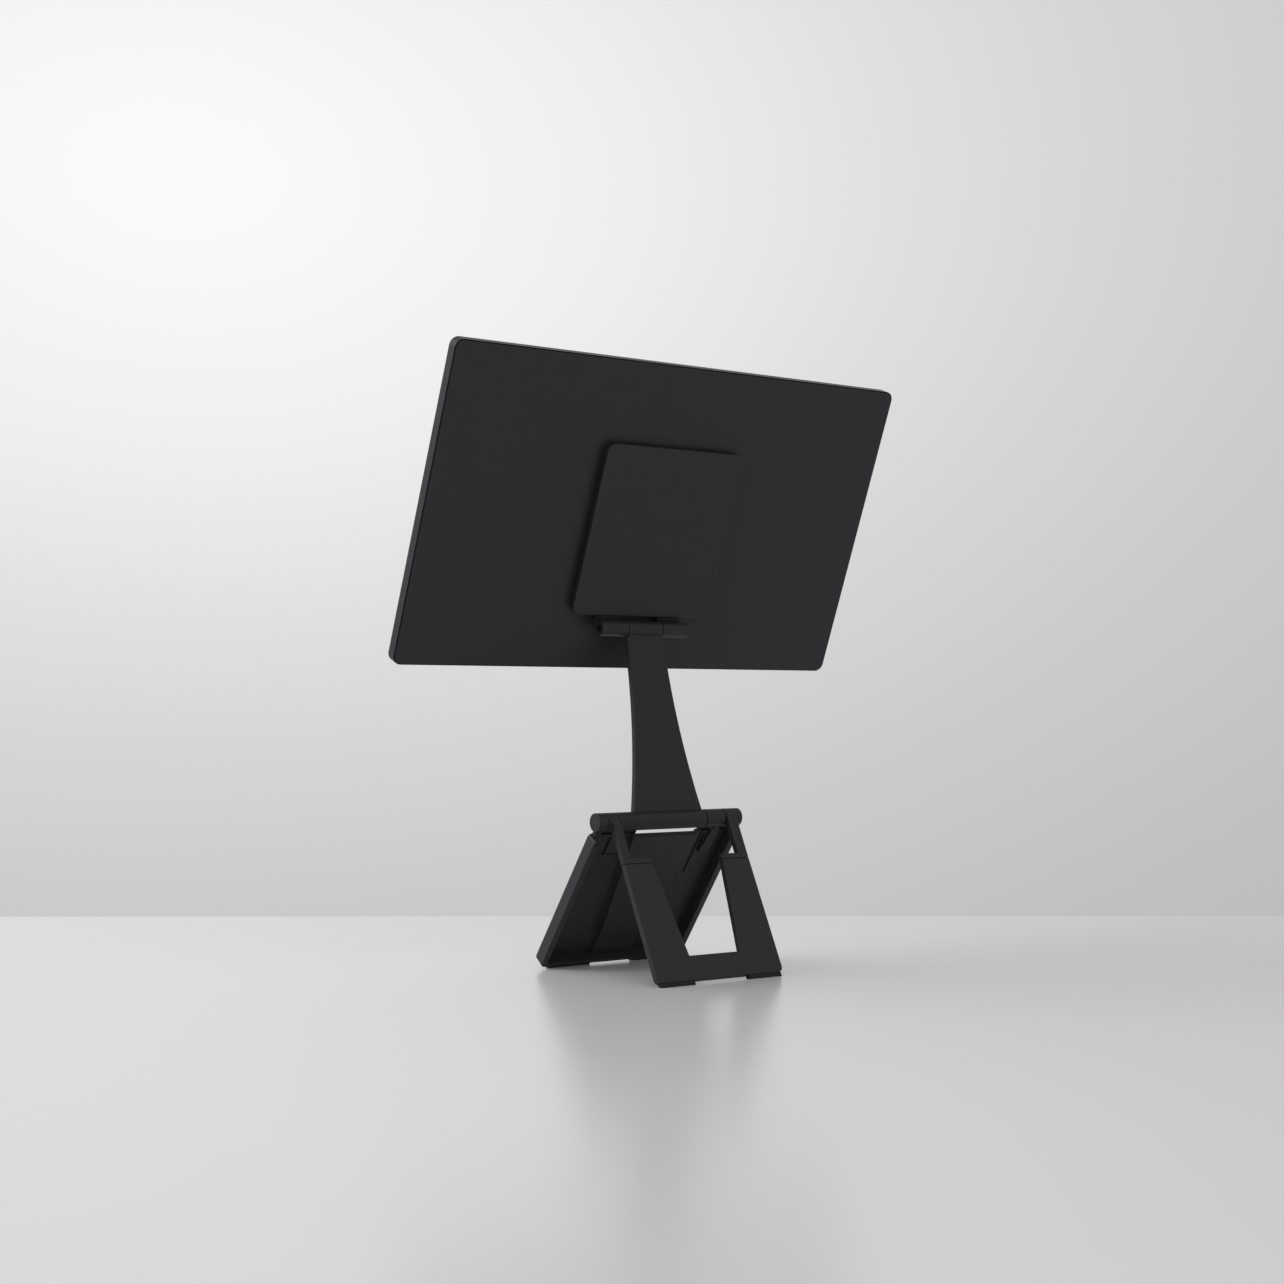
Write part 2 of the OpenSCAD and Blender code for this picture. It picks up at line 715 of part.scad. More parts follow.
// Knuckle, upright, foot and tongue of a back bracket
module back_bracket(knuckle_x, strut_x, foot_x, tongue_x) {
    difference() {
        union() {
            knuckle(knuckle_x[0], knuckle_x[1], barrel_r);
            slab(back_in, barrel_r) translate([strut_x[0], -back_seam])
                square([strut_x[1] - strut_x[0], back_seam]);
            slab(back_in, barrel_r) translate([foot_x[0], -back_seam])
                square([foot_x[1] - foot_x[0], back_flange_h]);
            slab(back_in, back_in + tongue_t) tongue_outline(tongue_x, 0);
        }
        bar(knuckle_x[0] - tiny, knuckle_x[1] + tiny, pin_r + pin_fit);
        for (x = back_screw_x(tongue_x)) translate([x, back_in, -back_screw_s])
            screw_room(back_t - 0.8);
    }
}

module back_bracket_inner() {
    color([0.2, 0.19, 0.19]) back_local() back_bracket(back_inner_x, strut_left,
        [back_x + window_half(back_seam), back_left], tongue_x_left);
}

module back_bracket_outer() {
    color([0.2, 0.19, 0.19]) back_local() difference() {
        back_bracket(back_outer_x, strut_right,
            [back_right, back_x - window_half(back_seam)], tongue_x_right);
        bar(back_outer_x[0] - tiny, back_outer_x[0] + cap_depth, cap_r);
    }
}

module back_bracket_screws() {
    color([0.1, 0.1, 0.1]) back_local()
        for (span = [tongue_x_left, tongue_x_right], x = back_screw_x(span))
            translate([x, back_in, -back_screw_s]) flat_screw(back_t - 0.9);
}

// A rubber foot under the back leg, cut level with the floor
module back_foot(x0) {
    y0 = back_foot_out - back_foot_t;
    color([0.06, 0.06, 0.06]) back_local() translate([x0, 0, 0])
        rotate([90, 0, 90]) linear_extrude(back_foot_len) polygon([
            [y0, -back_end], [back_foot_out, -back_end],
            [back_foot_out, -back_floor(back_foot_out)], [y0, -back_floor(y0)]
        ]);
}

module back_foot_left() {
    back_foot(back_left - back_foot_inset - back_foot_len);
}

module back_foot_right() {
    back_foot(back_right + back_foot_inset);
}

module pin_cap_back() {
    color([0.2, 0.19, 0.19]) at_axis()
        bar(-barrel_len / 2, -barrel_len / 2 + cap_depth - screw_fit, cap_r - screw_fit);
}

// ARM

// Broad at the foot and drawn in by one arc on each side, which ends upright at the shoulders
module arm_outline() {
    difference() {
        translate([-arm_low_w / 2, 0]) square([arm_low_w, arm_high_s]);
        for (side = [-1, 1]) translate([side * (arm_high_w / 2 + arm_curve_r), arm_high_s])
            circle(r = arm_curve_r, $fn = round_fn);
    }
    translate([-upper_mid_len / 2 + 0.6, arm_high_s - tiny])
        square([upper_mid_len - 1.2, upper_r + shoulder_gap + tiny]);
}

module arm() {
    color([0.17, 0.16, 0.16]) arm_local() difference() {
        union() {
            knuckle(sleeve_x[0], sleeve_x[1], barrel_r, 0.9);
            slab(-arm_t / 2, arm_t / 2) arm_outline();
            translate([0, 0, arm_len]) knuckle(-upper_mid_len / 2, upper_mid_len / 2, upper_r);
        }
        bar(sleeve_x[0] - 1, sleeve_x[1] + 1, bush_r);
        translate([0, 0, arm_len]) bar(-upper_mid_len, upper_mid_len, upper_bush_r);
    }
}

module lower_bushes() {
    color([0.75, 0.68, 0.45]) at_axis()
        for (x = [sleeve_x[0] + 0.5, sleeve_x[1] - 0.5 - lower_bush_len]) difference() {
            bar(x, x + lower_bush_len, bush_r);
            bar(x - 1, x + lower_bush_len + 1, pin_r + pin_fit);
        }
}

module upper_bush() {
    color([0.75, 0.68, 0.45]) arm_local() translate([0, 0, arm_len]) difference() {
        bar(0.5 - upper_mid_len / 2, upper_mid_len / 2 - 0.5, upper_bush_r);
        bar(-upper_mid_len, upper_mid_len, upper_pin_r + pin_fit);
    }
}

// MAGNETIC PLATE

leaf_screw_z = [plate_low + 6, plate_low + leaf_h - 5];
leaf_screw_x = [upper_side_x + 5, upper_end_x - 5];

module mount_plate() {
    color([0.18, 0.17, 0.17]) plate_local() difference() {
        hull() {
            slab(-plate_back - plate_t, -plate_back - plate_chamfer)
                panel_outline(plate_w, plate_h, plate_corner_r, plate_low, $fn = hull_fn);
            slab(-plate_back - plate_chamfer - tiny, -plate_back)
                panel_outline(plate_w - 2 * plate_chamfer, plate_h - 2 * plate_chamfer,
                    plate_corner_r - plate_chamfer, plate_low + plate_chamfer, $fn = hull_fn);
        }
        for (side = [-1, 1], x = leaf_screw_x, z = leaf_screw_z)
            translate([side * x, -leaf_back - leaf_t, z]) screw_room(leaf_t + plate_t - 0.7);
    }
}

// A knuckle whose leaf runs up behind the metal plate
module plate_hinge(side) {
    x0 = side > 0 ? upper_side_x : -upper_end_x;
    color([0.2, 0.19, 0.19]) plate_local() difference() {
        union() {
            knuckle(x0, x0 + upper_side_len, upper_r);
            translate([x0 + 0.6, 0, 0]) rotate([90, 0, 90]) linear_extrude(upper_side_len - 1.2)
                polygon([
                    [-leaf_back - leaf_t, -1], [0, -1], [0, 3], [-plate_back - 0.9, 3],
                    [-plate_back - 0.9, plate_low - 0.2], [-leaf_back, plate_low - 0.2],
                    [-leaf_back, plate_low + leaf_h], [-leaf_back - leaf_t, plate_low + leaf_h]
                ]);
        }
        bar(x0 - 1, x0 + upper_side_len + 1, upper_pin_r);
        for (x = leaf_screw_x, z = leaf_screw_z)
            translate([side * x, -leaf_back - leaf_t, z]) screw_room(leaf_t + plate_t - 0.7);
    }
}

module plate_hinge_left() {
    plate_hinge(1);
}

module plate_hinge_right() {
    plate_hinge(-1);
}

module plate_hinge_screws() {
    color([0.5, 0.5, 0.52]) plate_local() for (side = [-1, 1], x = leaf_screw_x, z = leaf_screw_z)
        translate([side * x, -leaf_back - leaf_t, z]) flat_screw(leaf_t + plate_t - 0.8);
}

function magnet_spots() = let (
        x = plate_w / 2 - magnet_inset, z0 = plate_low + leaf_h + magnet_r + 5,
        z1 = plate_low + plate_h - magnet_inset, zm = (z0 + z1) / 2
    ) [[-x, z0], [x, z0], [-x, zm], [x, zm], [-x, z1], [x, z1], [0, z1], [0, z0]];

module magnet_carrier() {
    color([0.08, 0.08, 0.08]) plate_local() difference() {
        slab(-carrier_y - carrier_t, -carrier_y)
            panel_outline(plate_w - 2 * carrier_inset, plate_h - 2 * carrier_inset,
                plate_corner_r - carrier_inset, plate_low + carrier_inset);
        for (side = [-1, 1])
            translate([side * (upper_side_x + upper_end_x) / 2 - upper_side_len / 2 - leaf_fit,
                -carrier_y - leaf_t - leaf_fit, plate_low - 1])
                cube([upper_side_len + 2 * leaf_fit, leaf_t + leaf_fit + 1, leaf_h + 1 + leaf_fit]);
        for (p = magnet_spots()) translate([p[0], -carrier_y + tiny, p[1]])
            rotate([90, 0, 0]) cylinder(r = magnet_r + screw_fit, h = magnet_t + screw_fit);
    }
}

module plate_magnets() {
    color([0.75, 0.75, 0.77]) plate_local() for (p = magnet_spots())
        translate([p[0], -carrier_y, p[1]]) rotate([90, 0, 0]) cylinder(r = magnet_r, h = magnet_t);
}

module plate_face_pad() {
    pad_inset = carrier_inset + 0.6;
    color([0.05, 0.05, 0.05]) plate_local() slab(-pad_y - pad_t, -pad_y)
        panel_outline(plate_w - 2 * pad_inset, plate_h - 2 * pad_inset,
            plate_corner_r - pad_inset, plate_low + pad_inset);
}

module upper_pin() {
    color([0.3, 0.3, 0.3]) plate_local() bar(-upper_end_x, upper_end_x, upper_pin_r);
}

// MONITOR

module case_outline(inset, fn = 64) {
    panel_outline(case_w - 2 * inset, case_h - 2 * inset, case_corner_r - inset, inset, $fn = fn);
}

// Where the board's studs stand
board_studs = [
    for (x = [board_x + stud_side, board_x + board_w - stud_inset],
        z = [board_low + stud_inset, board_low + board_h - stud_inset]) [x, z]
];

// A window through the case's side wall at a height above the lower edge
module side_window(z, len, wide) {
    translate([-case_w / 2 - 1, -socket_d, z]) rotate([0, 90, 0]) rotate([0, 0, 90])
        linear_extrude(wall + 2) stadium(len, wide);
}

module rear_cover() {
    color([0.18, 0.17, 0.18]) case_local() difference() {
        union() {
            difference() {
                hull() {
                    layer(case_chamfer, case_t) case_outline(0, hull_fn);
                    layer(0, case_chamfer) case_outline(case_chamfer, hull_fn);
                }
                layer(back_wall, case_t + 1) case_outline(wall);
            }
            for (p = board_studs) translate([p[0], -back_wall, p[1]])
                rotate([90, 0, 0]) cylinder(r = stud_r, h = stud_h);
        }
        for (p = board_studs) translate([p[0], -0.6, p[1]])
            rotate([90, 0, 0]) cylinder(r = shank_r, h = stud_h + back_wall);
        for (i = [0, 1]) side_window(socket_low + i * socket_pitch,
            oval_w + 2 * window_gap, mouth_h + 2 * window_gap);
        side_window(picture_z, picture_w + 2 * window_gap, mouth_h + 2 * window_gap);
        side_window(menu_z, menu_len + 2 * button_gap, button_w + 2 * button_gap);
        side_window(power_z, power_len + 2 * button_gap, button_w + 2 * button_gap);
        for (side = [-1, 1], i = [0 : sound_n - 1])
            translate([side * speaker_x + (i - (sound_n - 1) / 2) * sound_pitch, -socket_d, -1])
                cylinder(r = sound_r, h = wall + 2, $fn = 24);
    }
}

module front_glass() {
    color([0.03, 0.03, 0.035]) case_local() layer(glass_d, case_t) case_outline(wall + glass_gap);
}

module panel_block(d0, d1) {
    translate([-panel_w / 2, -d1, panel_z - panel_h / 2]) cube([panel_w, d1 - d0, panel_h]);
}

module lcd_panel() {
    color([0.1, 0.1, 0.13]) case_local() panel_block(panel_d, glass_d);
}

module light_guide() {
    color([0.9, 0.92, 0.95]) case_local() panel_block(guide_d, panel_d);
}

module lamp_strip() {
    color([0.95, 0.95, 0.8]) case_local()
        translate([-panel_w / 2, -panel_d, panel_z - panel_h / 2 - lamp_h])
            cube([panel_w, guide_t, lamp_h]);
}

// A shallow tray that holds the light guide and the panel and carries the cover glass
module mid_frame() {
    edge = wall + glass_gap;
    color([0.5, 0.5, 0.52]) case_local() difference() {
        layer(sheet_d, glass_d) case_outline(edge);
        translate([-panel_w / 2 - glass_gap, -glass_d - 1, panel_z - panel_h / 2 - lamp_h - glass_gap])
            cube([panel_w + 2 * glass_gap, glass_d - guide_d + 1,
                panel_h + lamp_h + 2 * glass_gap]);
        // The slot that the panel's cable comes through
        translate([cable_x, -glass_d, cable_z - 1]) cube([cable_w, case_t, cable_w + 2]);
    }
}

// The steel sheet that the magnets hold, bonded inside the back
module steel_target() {
    margin = 7;
    color([0.55, 0.56, 0.58]) case_local() layer(back_wall, back_wall + 0.8)
        panel_outline(plate_w - 2 * margin, plate_h - 2 * margin, plate_corner_r,
            case_drop + plate_low + margin);
}

module main_board() {
    top_d = board_d + board_t;
    scaler_x = board_x + stud_side + 14;
    scaler_z = board_low + 3 * stud_side;
    color([0.05, 0.25, 0.12]) case_local() difference() {
        union() {
            translate([board_x, -top_d, board_low]) cube([board_w, board_t, board_h]);
            // The scaler, its memory, the power coils and the drivers
            board_chip(scaler_x, scaler_z, scaler_w, scaler_w);
            board_chip(scaler_x, scaler_z + 1.5 * scaler_w, memory_w, memory_h);
            for (i = [0 : 2]) board_chip(board_x + stud_side + coil_w,
                board_low + stud_side + coil_pitch * i, coil_w, coil_w);
            for (i = [0 : 3]) board_chip(board_x + board_w - 2 * driver_w,
                board_low + stud_side + driver_pitch * i, driver_w, driver_w);
        }
        for (i = [0, 1]) socket_notch(socket_low + i * socket_pitch, oval_w);
        socket_notch(picture_z, picture_w);
        for (z = [menu_z, power_z]) translate([board_x - 1, -top_d - 1, z - switch_w / 2 - 0.2])
            cube([switch_x + switch_depth - board_x + 1.2, board_t + 2, switch_w + 0.4]);
        for (p = board_studs) translate([p[0], -top_d - 1, p[1]])
            rotate([-90, 0, 0]) cylinder(r = shank_r + screw_fit, h = board_t + 2);
    }
}

module board_chip(x, z, w, h) {
    translate([x, -board_d - board_t - chip_t, z]) cube([w, chip_t + tiny, h]);
}

// Room in the board for a socket that is let into it
module socket_notch(z, w) {
    translate([board_x - 1, -board_d - board_t - 1, z - w / 2 - socket_wall])
        cube([socket_x + socket_depth - board_x + 1 + screw_fit, board_t + 2, w + 2 * socket_wall]);
}

module board_screws() {
    color([0.6, 0.6, 0.62]) case_local() for (p = board_studs)
        translate([p[0], -board_d - board_t - head_h, p[1]]) rotate([-90, 0, 0]) union() {
            cylinder(r = head_r, h = head_h);
            cylinder(r = shank_r - screw_fit, h = head_h + board_t + stud_h);
        }
}

// A socket's shell with its closed back and the tongue inside it
module socket_shell(z, w, tongue_w) {
    translate([socket_x, -socket_d, z]) {
        rotate([0, 90, 0]) rotate([0, 0, 90]) difference() {
            linear_extrude(socket_depth) stadium(w, mouth_h);
            translate([0, 0, -1]) linear_extrude(socket_depth - 0.2)
                stadium(w - 2 * socket_wall, mouth_h - 2 * socket_wall);
        }
        translate([1.4, -0.35, -tongue_w / 2]) cube([socket_depth - 1.4, 0.7, tongue_w]);
    }
}

module usb_c_sockets() {
    color([0.7, 0.7, 0.72]) case_local()
        for (i = [0, 1]) socket_shell(socket_low + i * socket_pitch, oval_w, oval_w - 2.2);
}

module picture_socket() {
    color([0.7, 0.7, 0.72]) case_local() socket_shell(picture_z, picture_w, picture_w - 3);
}

module button_switches() {
    color([0.15, 0.15, 0.15]) case_local() for (z = [menu_z, power_z]) {
        translate([switch_x, -socket_d - switch_t / 2, z - switch_w / 2])
            cube([switch_depth, switch_t, switch_w]);
    }
}

// A loudspeaker box with its oval cone
module speaker(side) {
    color([0.1, 0.1, 0.1]) case_local()
        translate([side * speaker_x, -back_wall, wall + 0.3]) difference() {
            translate([-speaker_w / 2, -speaker_t, 0]) cube([speaker_w, speaker_t, speaker_h]);
            translate([0, -speaker_t + 0.6, speaker_h / 2]) rotate([90, 90, 0])
                linear_extrude(2) stadium(speaker_w - 8, speaker_h - 4);
        }
}

module speaker_left() {
    speaker(1);
}

module speaker_right() {
    speaker(-1);
}

// The flat cable runs from the board to the slot in the frame
module panel_cable() {
    cable_d = board_d + board_t;
    color([0.75, 0.6, 0.3]) case_local() union() {
        translate([board_x + board_w - cable_lap, -cable_d - cable_t, cable_z])
            cube([cable_run + cable_lap + cable_w / 2, cable_t, cable_w]);
        translate([cable_x + cable_w / 2 - cable_t, -guide_d, cable_z])
            cube([cable_t, guide_d - cable_d, cable_w]);
    }
}

// A button's cap passes through the wall and a wider foot behind the wall keeps it in
module button(z, len) {
    color([0.12, 0.12, 0.12]) case_local() {
        translate([-case_w / 2 - button_out, -socket_d, z])
            rotate([0, 90, 0]) rotate([0, 0, 90])
                linear_extrude(button_out + wall + flange_in + tiny) stadium(len, button_w);
        translate([button_in + flange_in, -socket_d, z])
            rotate([0, 90, 0]) rotate([0, 0, 90])
                linear_extrude(flange_t) stadium(len + 1.6, 3);
    }
}

module power_button() {
    button(power_z, power_len);
}

module menu_button() {
    button(menu_z, menu_len);
}

front_tray();
front_bracket_outer();
front_bracket_inner();
front_bracket_dowels();
front_foot_left();
front_foot_right();
lower_pin();
hinge_washers();
pin_cap_front();
back_leg_frame();
back_bracket_inner();
back_bracket_outer();
back_bracket_screws();
back_foot_left();
back_foot_right();
pin_cap_back();
arm();
lower_bushes();
upper_bush();
mount_plate();
plate_hinge_left();
plate_hinge_right();
plate_hinge_screws();
magnet_carrier();
plate_magnets();
plate_face_pad();
upper_pin();
rear_cover();
front_glass();
lcd_panel();
light_guide();
lamp_strip();
mid_frame();
steel_target();
main_board();
board_screws();
usb_c_sockets();
picture_socket();
button_switches();
speaker_left();
speaker_right();
panel_cable();
power_button();
menu_button();
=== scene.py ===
import json
import math

import bmesh
import bpy
from mathutils import Matrix, Vector
from mathutils.bvhtree import BVHTree


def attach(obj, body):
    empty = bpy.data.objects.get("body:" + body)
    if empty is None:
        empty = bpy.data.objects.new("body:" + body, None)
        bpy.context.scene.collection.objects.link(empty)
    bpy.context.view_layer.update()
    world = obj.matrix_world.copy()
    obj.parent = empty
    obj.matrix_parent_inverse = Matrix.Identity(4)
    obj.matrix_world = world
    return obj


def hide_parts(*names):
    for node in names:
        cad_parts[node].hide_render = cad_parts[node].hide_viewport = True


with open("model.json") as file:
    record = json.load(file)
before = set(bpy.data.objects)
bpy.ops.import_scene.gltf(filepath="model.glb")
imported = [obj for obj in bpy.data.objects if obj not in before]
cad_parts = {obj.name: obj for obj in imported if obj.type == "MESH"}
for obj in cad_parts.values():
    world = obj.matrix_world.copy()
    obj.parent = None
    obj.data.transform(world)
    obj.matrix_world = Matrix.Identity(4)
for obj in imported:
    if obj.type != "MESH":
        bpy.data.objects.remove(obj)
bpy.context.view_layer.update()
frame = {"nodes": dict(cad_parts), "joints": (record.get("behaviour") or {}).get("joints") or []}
nodes = frame["nodes"]
joints = {j["name"]: j for j in frame["joints"]}

# FRONT TRAY
# The deep front leg is milled from one block of aluminium, with a rim, a raised centre and
# a thin floor. A lip at each side of the arm's sleeve closes the gap under the barrel. The
# leg is blasted with fine beads and anodised black, and its edges are broken by hand.
TRAY_BLACK = (0.0262, 0.0232, 0.0268, 1)
TRAY_EDGE = 0.00030
TRAY_TILT = math.radians(36.4)
LIP_SPANS = ((0.0215, 0.0517), (-0.0550, -0.0290))
LIP_TOP = 0.0082
LIP_FOOT = 0.0124
LIP_FRONT = 0.00119
LIP_BACK = 0.00052
LIP_EDGE = 0.0001
BLAST_GRAIN = 3200
BLAST_CLOUDING = 0.03
BLAST_GLINT = 0.38
BLAST_RELIEF = (0.25, 0.00003)
SHEEN_CLOUD = 0.012
SHEEN_PEBBLE = 0.03
NOISE_LOW = 0.3
NOISE_HIGH = 0.7
SAME_POINT = 0.000002
SAME_PLANE = math.radians(0.4)
SHARP_EDGE = math.radians(28)
SHADED_EDGE = math.radians(50)
EDGE_STEPS = 2
FLAT_PULL = 80
BOX_FACES = ((0, 1, 3, 2), (4, 5, 7, 6), (0, 1, 5, 4), (2, 3, 7, 6), (0, 2, 6, 4),
    (1, 3, 7, 5))


def finish_group(name, numbers, build):
    """A shader group: a colour and named numbers in, colour, roughness and height out."""
    group = bpy.data.node_groups.new(name, "ShaderNodeTree")
    sockets = group.interface
    sockets.new_socket(name="Colour", in_out="INPUT", socket_type="NodeSocketColor")
    for label in numbers:
        sockets.new_socket(name=label, in_out="INPUT", socket_type="NodeSocketFloat")
    sockets.new_socket(name="Colour", in_out="OUTPUT", socket_type="NodeSocketColor")
    sockets.new_socket(name="Roughness", in_out="OUTPUT", socket_type="NodeSocketFloat")
    sockets.new_socket(name="Height", in_out="OUTPUT", socket_type="NodeSocketFloat")
    build(group, group.nodes.new("NodeGroupInput"), group.nodes.new("NodeGroupOutput"))
    return group


def noise(tree, scale, detail, coordinates=None):
    """A noise in object space, whose scale is a number or a socket."""
    node = tree.nodes.new("ShaderNodeTexNoise")
    if coordinates is None:
        coordinates = tree.nodes.new("ShaderNodeTexCoord").outputs["Object"]
    tree.links.new(coordinates, node.inputs["Vector"])
    if isinstance(scale, (int, float)):
        node.inputs["Scale"].default_value = scale
    else:
        tree.links.new(scale, node.inputs["Scale"])
    node.inputs["Detail"].default_value = detail
    return node.outputs["Fac"]


def spread(tree, value, low, high):
    """Stretches a noise's middle range to low and high, which are numbers or sockets."""
    node = tree.nodes.new("ShaderNodeMapRange")
    tree.links.new(value, node.inputs["Value"])
    node.inputs["From Min"].default_value = NOISE_LOW
    node.inputs["From Max"].default_value = NOISE_HIGH
    for label, end in (("To Min", low), ("To Max", high)):
        if isinstance(end, (int, float)):
            node.inputs[label].default_value = end
        else:
            tree.links.new(end, node.inputs[label])
    return node.outputs["Result"]


def reckon(tree, a, b, operation="ADD"):
    """A number worked out from two numbers or sockets, their sum if not told otherwise."""
    node = tree.nodes.new("ShaderNodeMath")
    node.operation = operation
    for socket, value in zip(node.inputs, (a, b)):
        if isinstance(value, (int, float)):
            socket.default_value = value
        else:
            tree.links.new(value, socket)
    return node.outputs["Value"]


def shaded(tree, colour, factor):
    """The colour, made lighter or darker by the factor."""
    node = tree.nodes.new("ShaderNodeMix")
    node.data_type = "RGBA"
    node.blend_type = "MULTIPLY"
    node.inputs["Factor"].default_value = 1
    tree.links.new(colour, node.inputs["A"])
    tree.links.new(factor, node.inputs["B"])
    return node.outputs["Result"]


def blasted(tree, start, end):
    """Bead blasting: a fine even pebble, faint clouds in the dye and an uneven sheen."""
    pebble = noise(tree, start.outputs["Grain"], detail=3)
    cloud = noise(tree, start.outputs["Cloud"], detail=2)
    swing = start.outputs["Clouding"]
    low = reckon(tree, 1, swing, "SUBTRACT")
    high = reckon(tree, 1, swing)
    tree.links.new(shaded(tree, start.outputs["Colour"], spread(tree, cloud, low, high)),
        end.inputs["Colour"])
    sheen = reckon(tree, spread(tree, cloud, -SHEEN_CLOUD, SHEEN_CLOUD),
        spread(tree, pebble, -SHEEN_PEBBLE, SHEEN_PEBBLE))
    tree.links.new(reckon(tree, start.outputs["Sheen"], sheen), end.inputs["Roughness"])
    tree.links.new(pebble, end.inputs["Height"])


blasted_finish = finish_group("Blasted finish", ("Grain", "Cloud", "Clouding", "Sheen"),
    blasted)


def finished(name, group, colour, numbers, relief, metallic=0.0, specular=0.5):
    """A material whose colour, roughness and fine relief come from a finish group."""
    material = bpy.data.materials.new(name)
    material.use_nodes = True
    tree = material.node_tree
    shader = tree.nodes["Principled BSDF"]
    shader.inputs["Metallic"].default_value = metallic
    shader.inputs["Specular IOR Level"].default_value = specular
    node = tree.nodes.new("ShaderNodeGroup")
    node.node_tree = group
    node.inputs["Colour"].default_value = colour
    for label, value in numbers.items():
        node.inputs[label].default_value = value
    bump = tree.nodes.new("ShaderNodeBump")
    strength, depth = relief
    bump.inputs["Strength"].default_value = strength
    bump.inputs["Distance"].default_value = depth
    tree.links.new(node.outputs["Height"], bump.inputs["Height"])
    tree.links.new(node.outputs["Colour"], shader.inputs["Base Color"])
    tree.links.new(node.outputs["Roughness"], shader.inputs["Roughness"])
    tree.links.new(bump.outputs["Normal"], shader.inputs["Normal"])
    return material


def anodised(name, colour, sheen=0.46, cloud=70):
    """Matte black anodised aluminium: a fine pebble of about a third of a millimetre."""
    numbers = {"Grain": BLAST_GRAIN, "Cloud": cloud, "Clouding": BLAST_CLOUDING,
        "Sheen": sheen}
    return finished(name, blasted_finish, colour, numbers, BLAST_RELIEF,
        specular=BLAST_GLINT)


def dress(node, material):
    """Gives a CAD node its finish."""
    mesh = nodes[node].data
    mesh.materials.clear()
    mesh.materials.append(material)


def break_edges(node, piece, body, material, width, segments=EDGE_STEPS):
    """A copy of a CAD node with its sharp edges rounded, in the place of the node."""
    mesh = nodes[node].data.copy()
    work = bmesh.new()
    work.from_mesh(mesh)
    bmesh.ops.remove_doubles(work, verts=work.verts, dist=SAME_POINT)
    bmesh.ops.dissolve_limit(work, angle_limit=SAME_PLANE, verts=work.verts,
        edges=work.edges, use_dissolve_boundaries=False)
    work.to_mesh(mesh)
    surface = BVHTree.FromBMesh(work)
    work.free()
    mesh.polygons.foreach_set("use_smooth", [True] * len(mesh.polygons))
    rough = bpy.data.objects.new(piece + "_edges", mesh)
    bpy.context.scene.collection.objects.link(rough)
    bevel = rough.modifiers.new("Broken edges", "BEVEL")
    bevel.width = width
    bevel.segments = segments
    bevel.limit_method = "ANGLE"
    bevel.angle_limit = SHARP_EDGE
    bevel.use_clamp_overlap = False
    rough.modifiers.new("Flat faces", "WEIGHTED_NORMAL").weight = FLAT_PULL
    return settle(rough, piece, body, material, (node,), surface, width)


def settle(rough, piece, body, material, replaced=(), surface=None, reach=0):
    """Turns an object with modifiers into a plain mesh that rides on its body.

    With a surface, a vertex that the rounding threw further than reach from it goes back.
    """
    bpy.context.view_layer.update()
    shape = rough.evaluated_get(bpy.context.evaluated_depsgraph_get())
    mesh = bpy.data.meshes.new_from_object(shape)
    bpy.data.objects.remove(rough)
    mesh.materials.clear()
    mesh.materials.append(material)
    if surface is None:
        mesh.polygons.foreach_set("use_smooth", [True] * len(mesh.polygons))
        mesh.set_sharp_from_angle(angle=SHADED_EDGE)
    else:
        for vertex in mesh.vertices:
            spot, _, _, gap = surface.find_nearest(vertex.co)
            if gap > reach:
                vertex.co = spot
    made = bpy.data.objects.new(piece, mesh)
    bpy.context.scene.collection.objects.link(made)
    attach(made, body)
    if replaced:
        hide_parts(*replaced)
    return made


def made_piece(piece, points, faces, body, material, edge=0):
    """A closed mesh from points and faces, turned outwards, its edges rounded by edge."""
    mesh = bpy.data.meshes.new(piece)
    mesh.from_pydata([tuple(point) for point in points], [], faces)
    work = bmesh.new()
    work.from_mesh(mesh)
    bmesh.ops.recalc_face_normals(work, faces=work.faces)
    work.to_mesh(mesh)
    work.free()
    thing = bpy.data.objects.new(piece + "_rough", mesh)
    bpy.context.scene.collection.objects.link(thing)
    if edge:
        bevel = thing.modifiers.new("Broken edges", "BEVEL")
        bevel.width = edge
        bevel.segments = EDGE_STEPS
    return settle(thing, piece, body, material)


def blocks(place, boxes):
    """Points and faces of boxes, each given by two opposite corners in a turned frame."""
    points = []
    faces = []
    for low, high in boxes:
        first = len(points)
        for corner in range(8):
            spot = [(low, high)[corner >> axis & 1][axis] for axis in range(3)]
            points.append(place @ Vector(spot))
        faces += [tuple(first + k for k in face) for face in BOX_FACES]
    return points, faces


tray_finish = anodised("Anodised tray", TRAY_BLACK)
break_edges("front_tray", "tray", "front_leg", tray_finish, TRAY_EDGE)
tray_place = (Matrix.Translation(joints["back_leg_hinge"]["pos_m"])
    @ Matrix.Rotation(-TRAY_TILT, 4, "X"))
lip_boxes = [((low, -LIP_FRONT, -LIP_FOOT), (high, -LIP_BACK, -LIP_TOP))
    for low, high in LIP_SPANS]
lip_points, lip_faces = blocks(tray_place, lip_boxes)
made_piece("tray_lips", lip_points, lip_faces, "front_leg", tray_finish,
    LIP_EDGE)

# FRONT BRACKETS
# Two milled brackets carry the tray's knuckles. Each lies in a recess of the tray's floor
# and is held from below by blind steel dowels.
BRACKET_BLACK = (0.0190, 0.0168, 0.0192, 1)
BRACKET_EDGE = 0.00025
DOWEL_GREY = (0.30, 0.30, 0.31, 1)
SCRATCH_SQUEEZE = (9, 1, 1)
SCRATCH_DARK = 0.88
SCRATCH_PALE = 1.08
SHEEN_SCRATCH = 0.06
STEEL_RELIEF = (0.15, 0.00001)


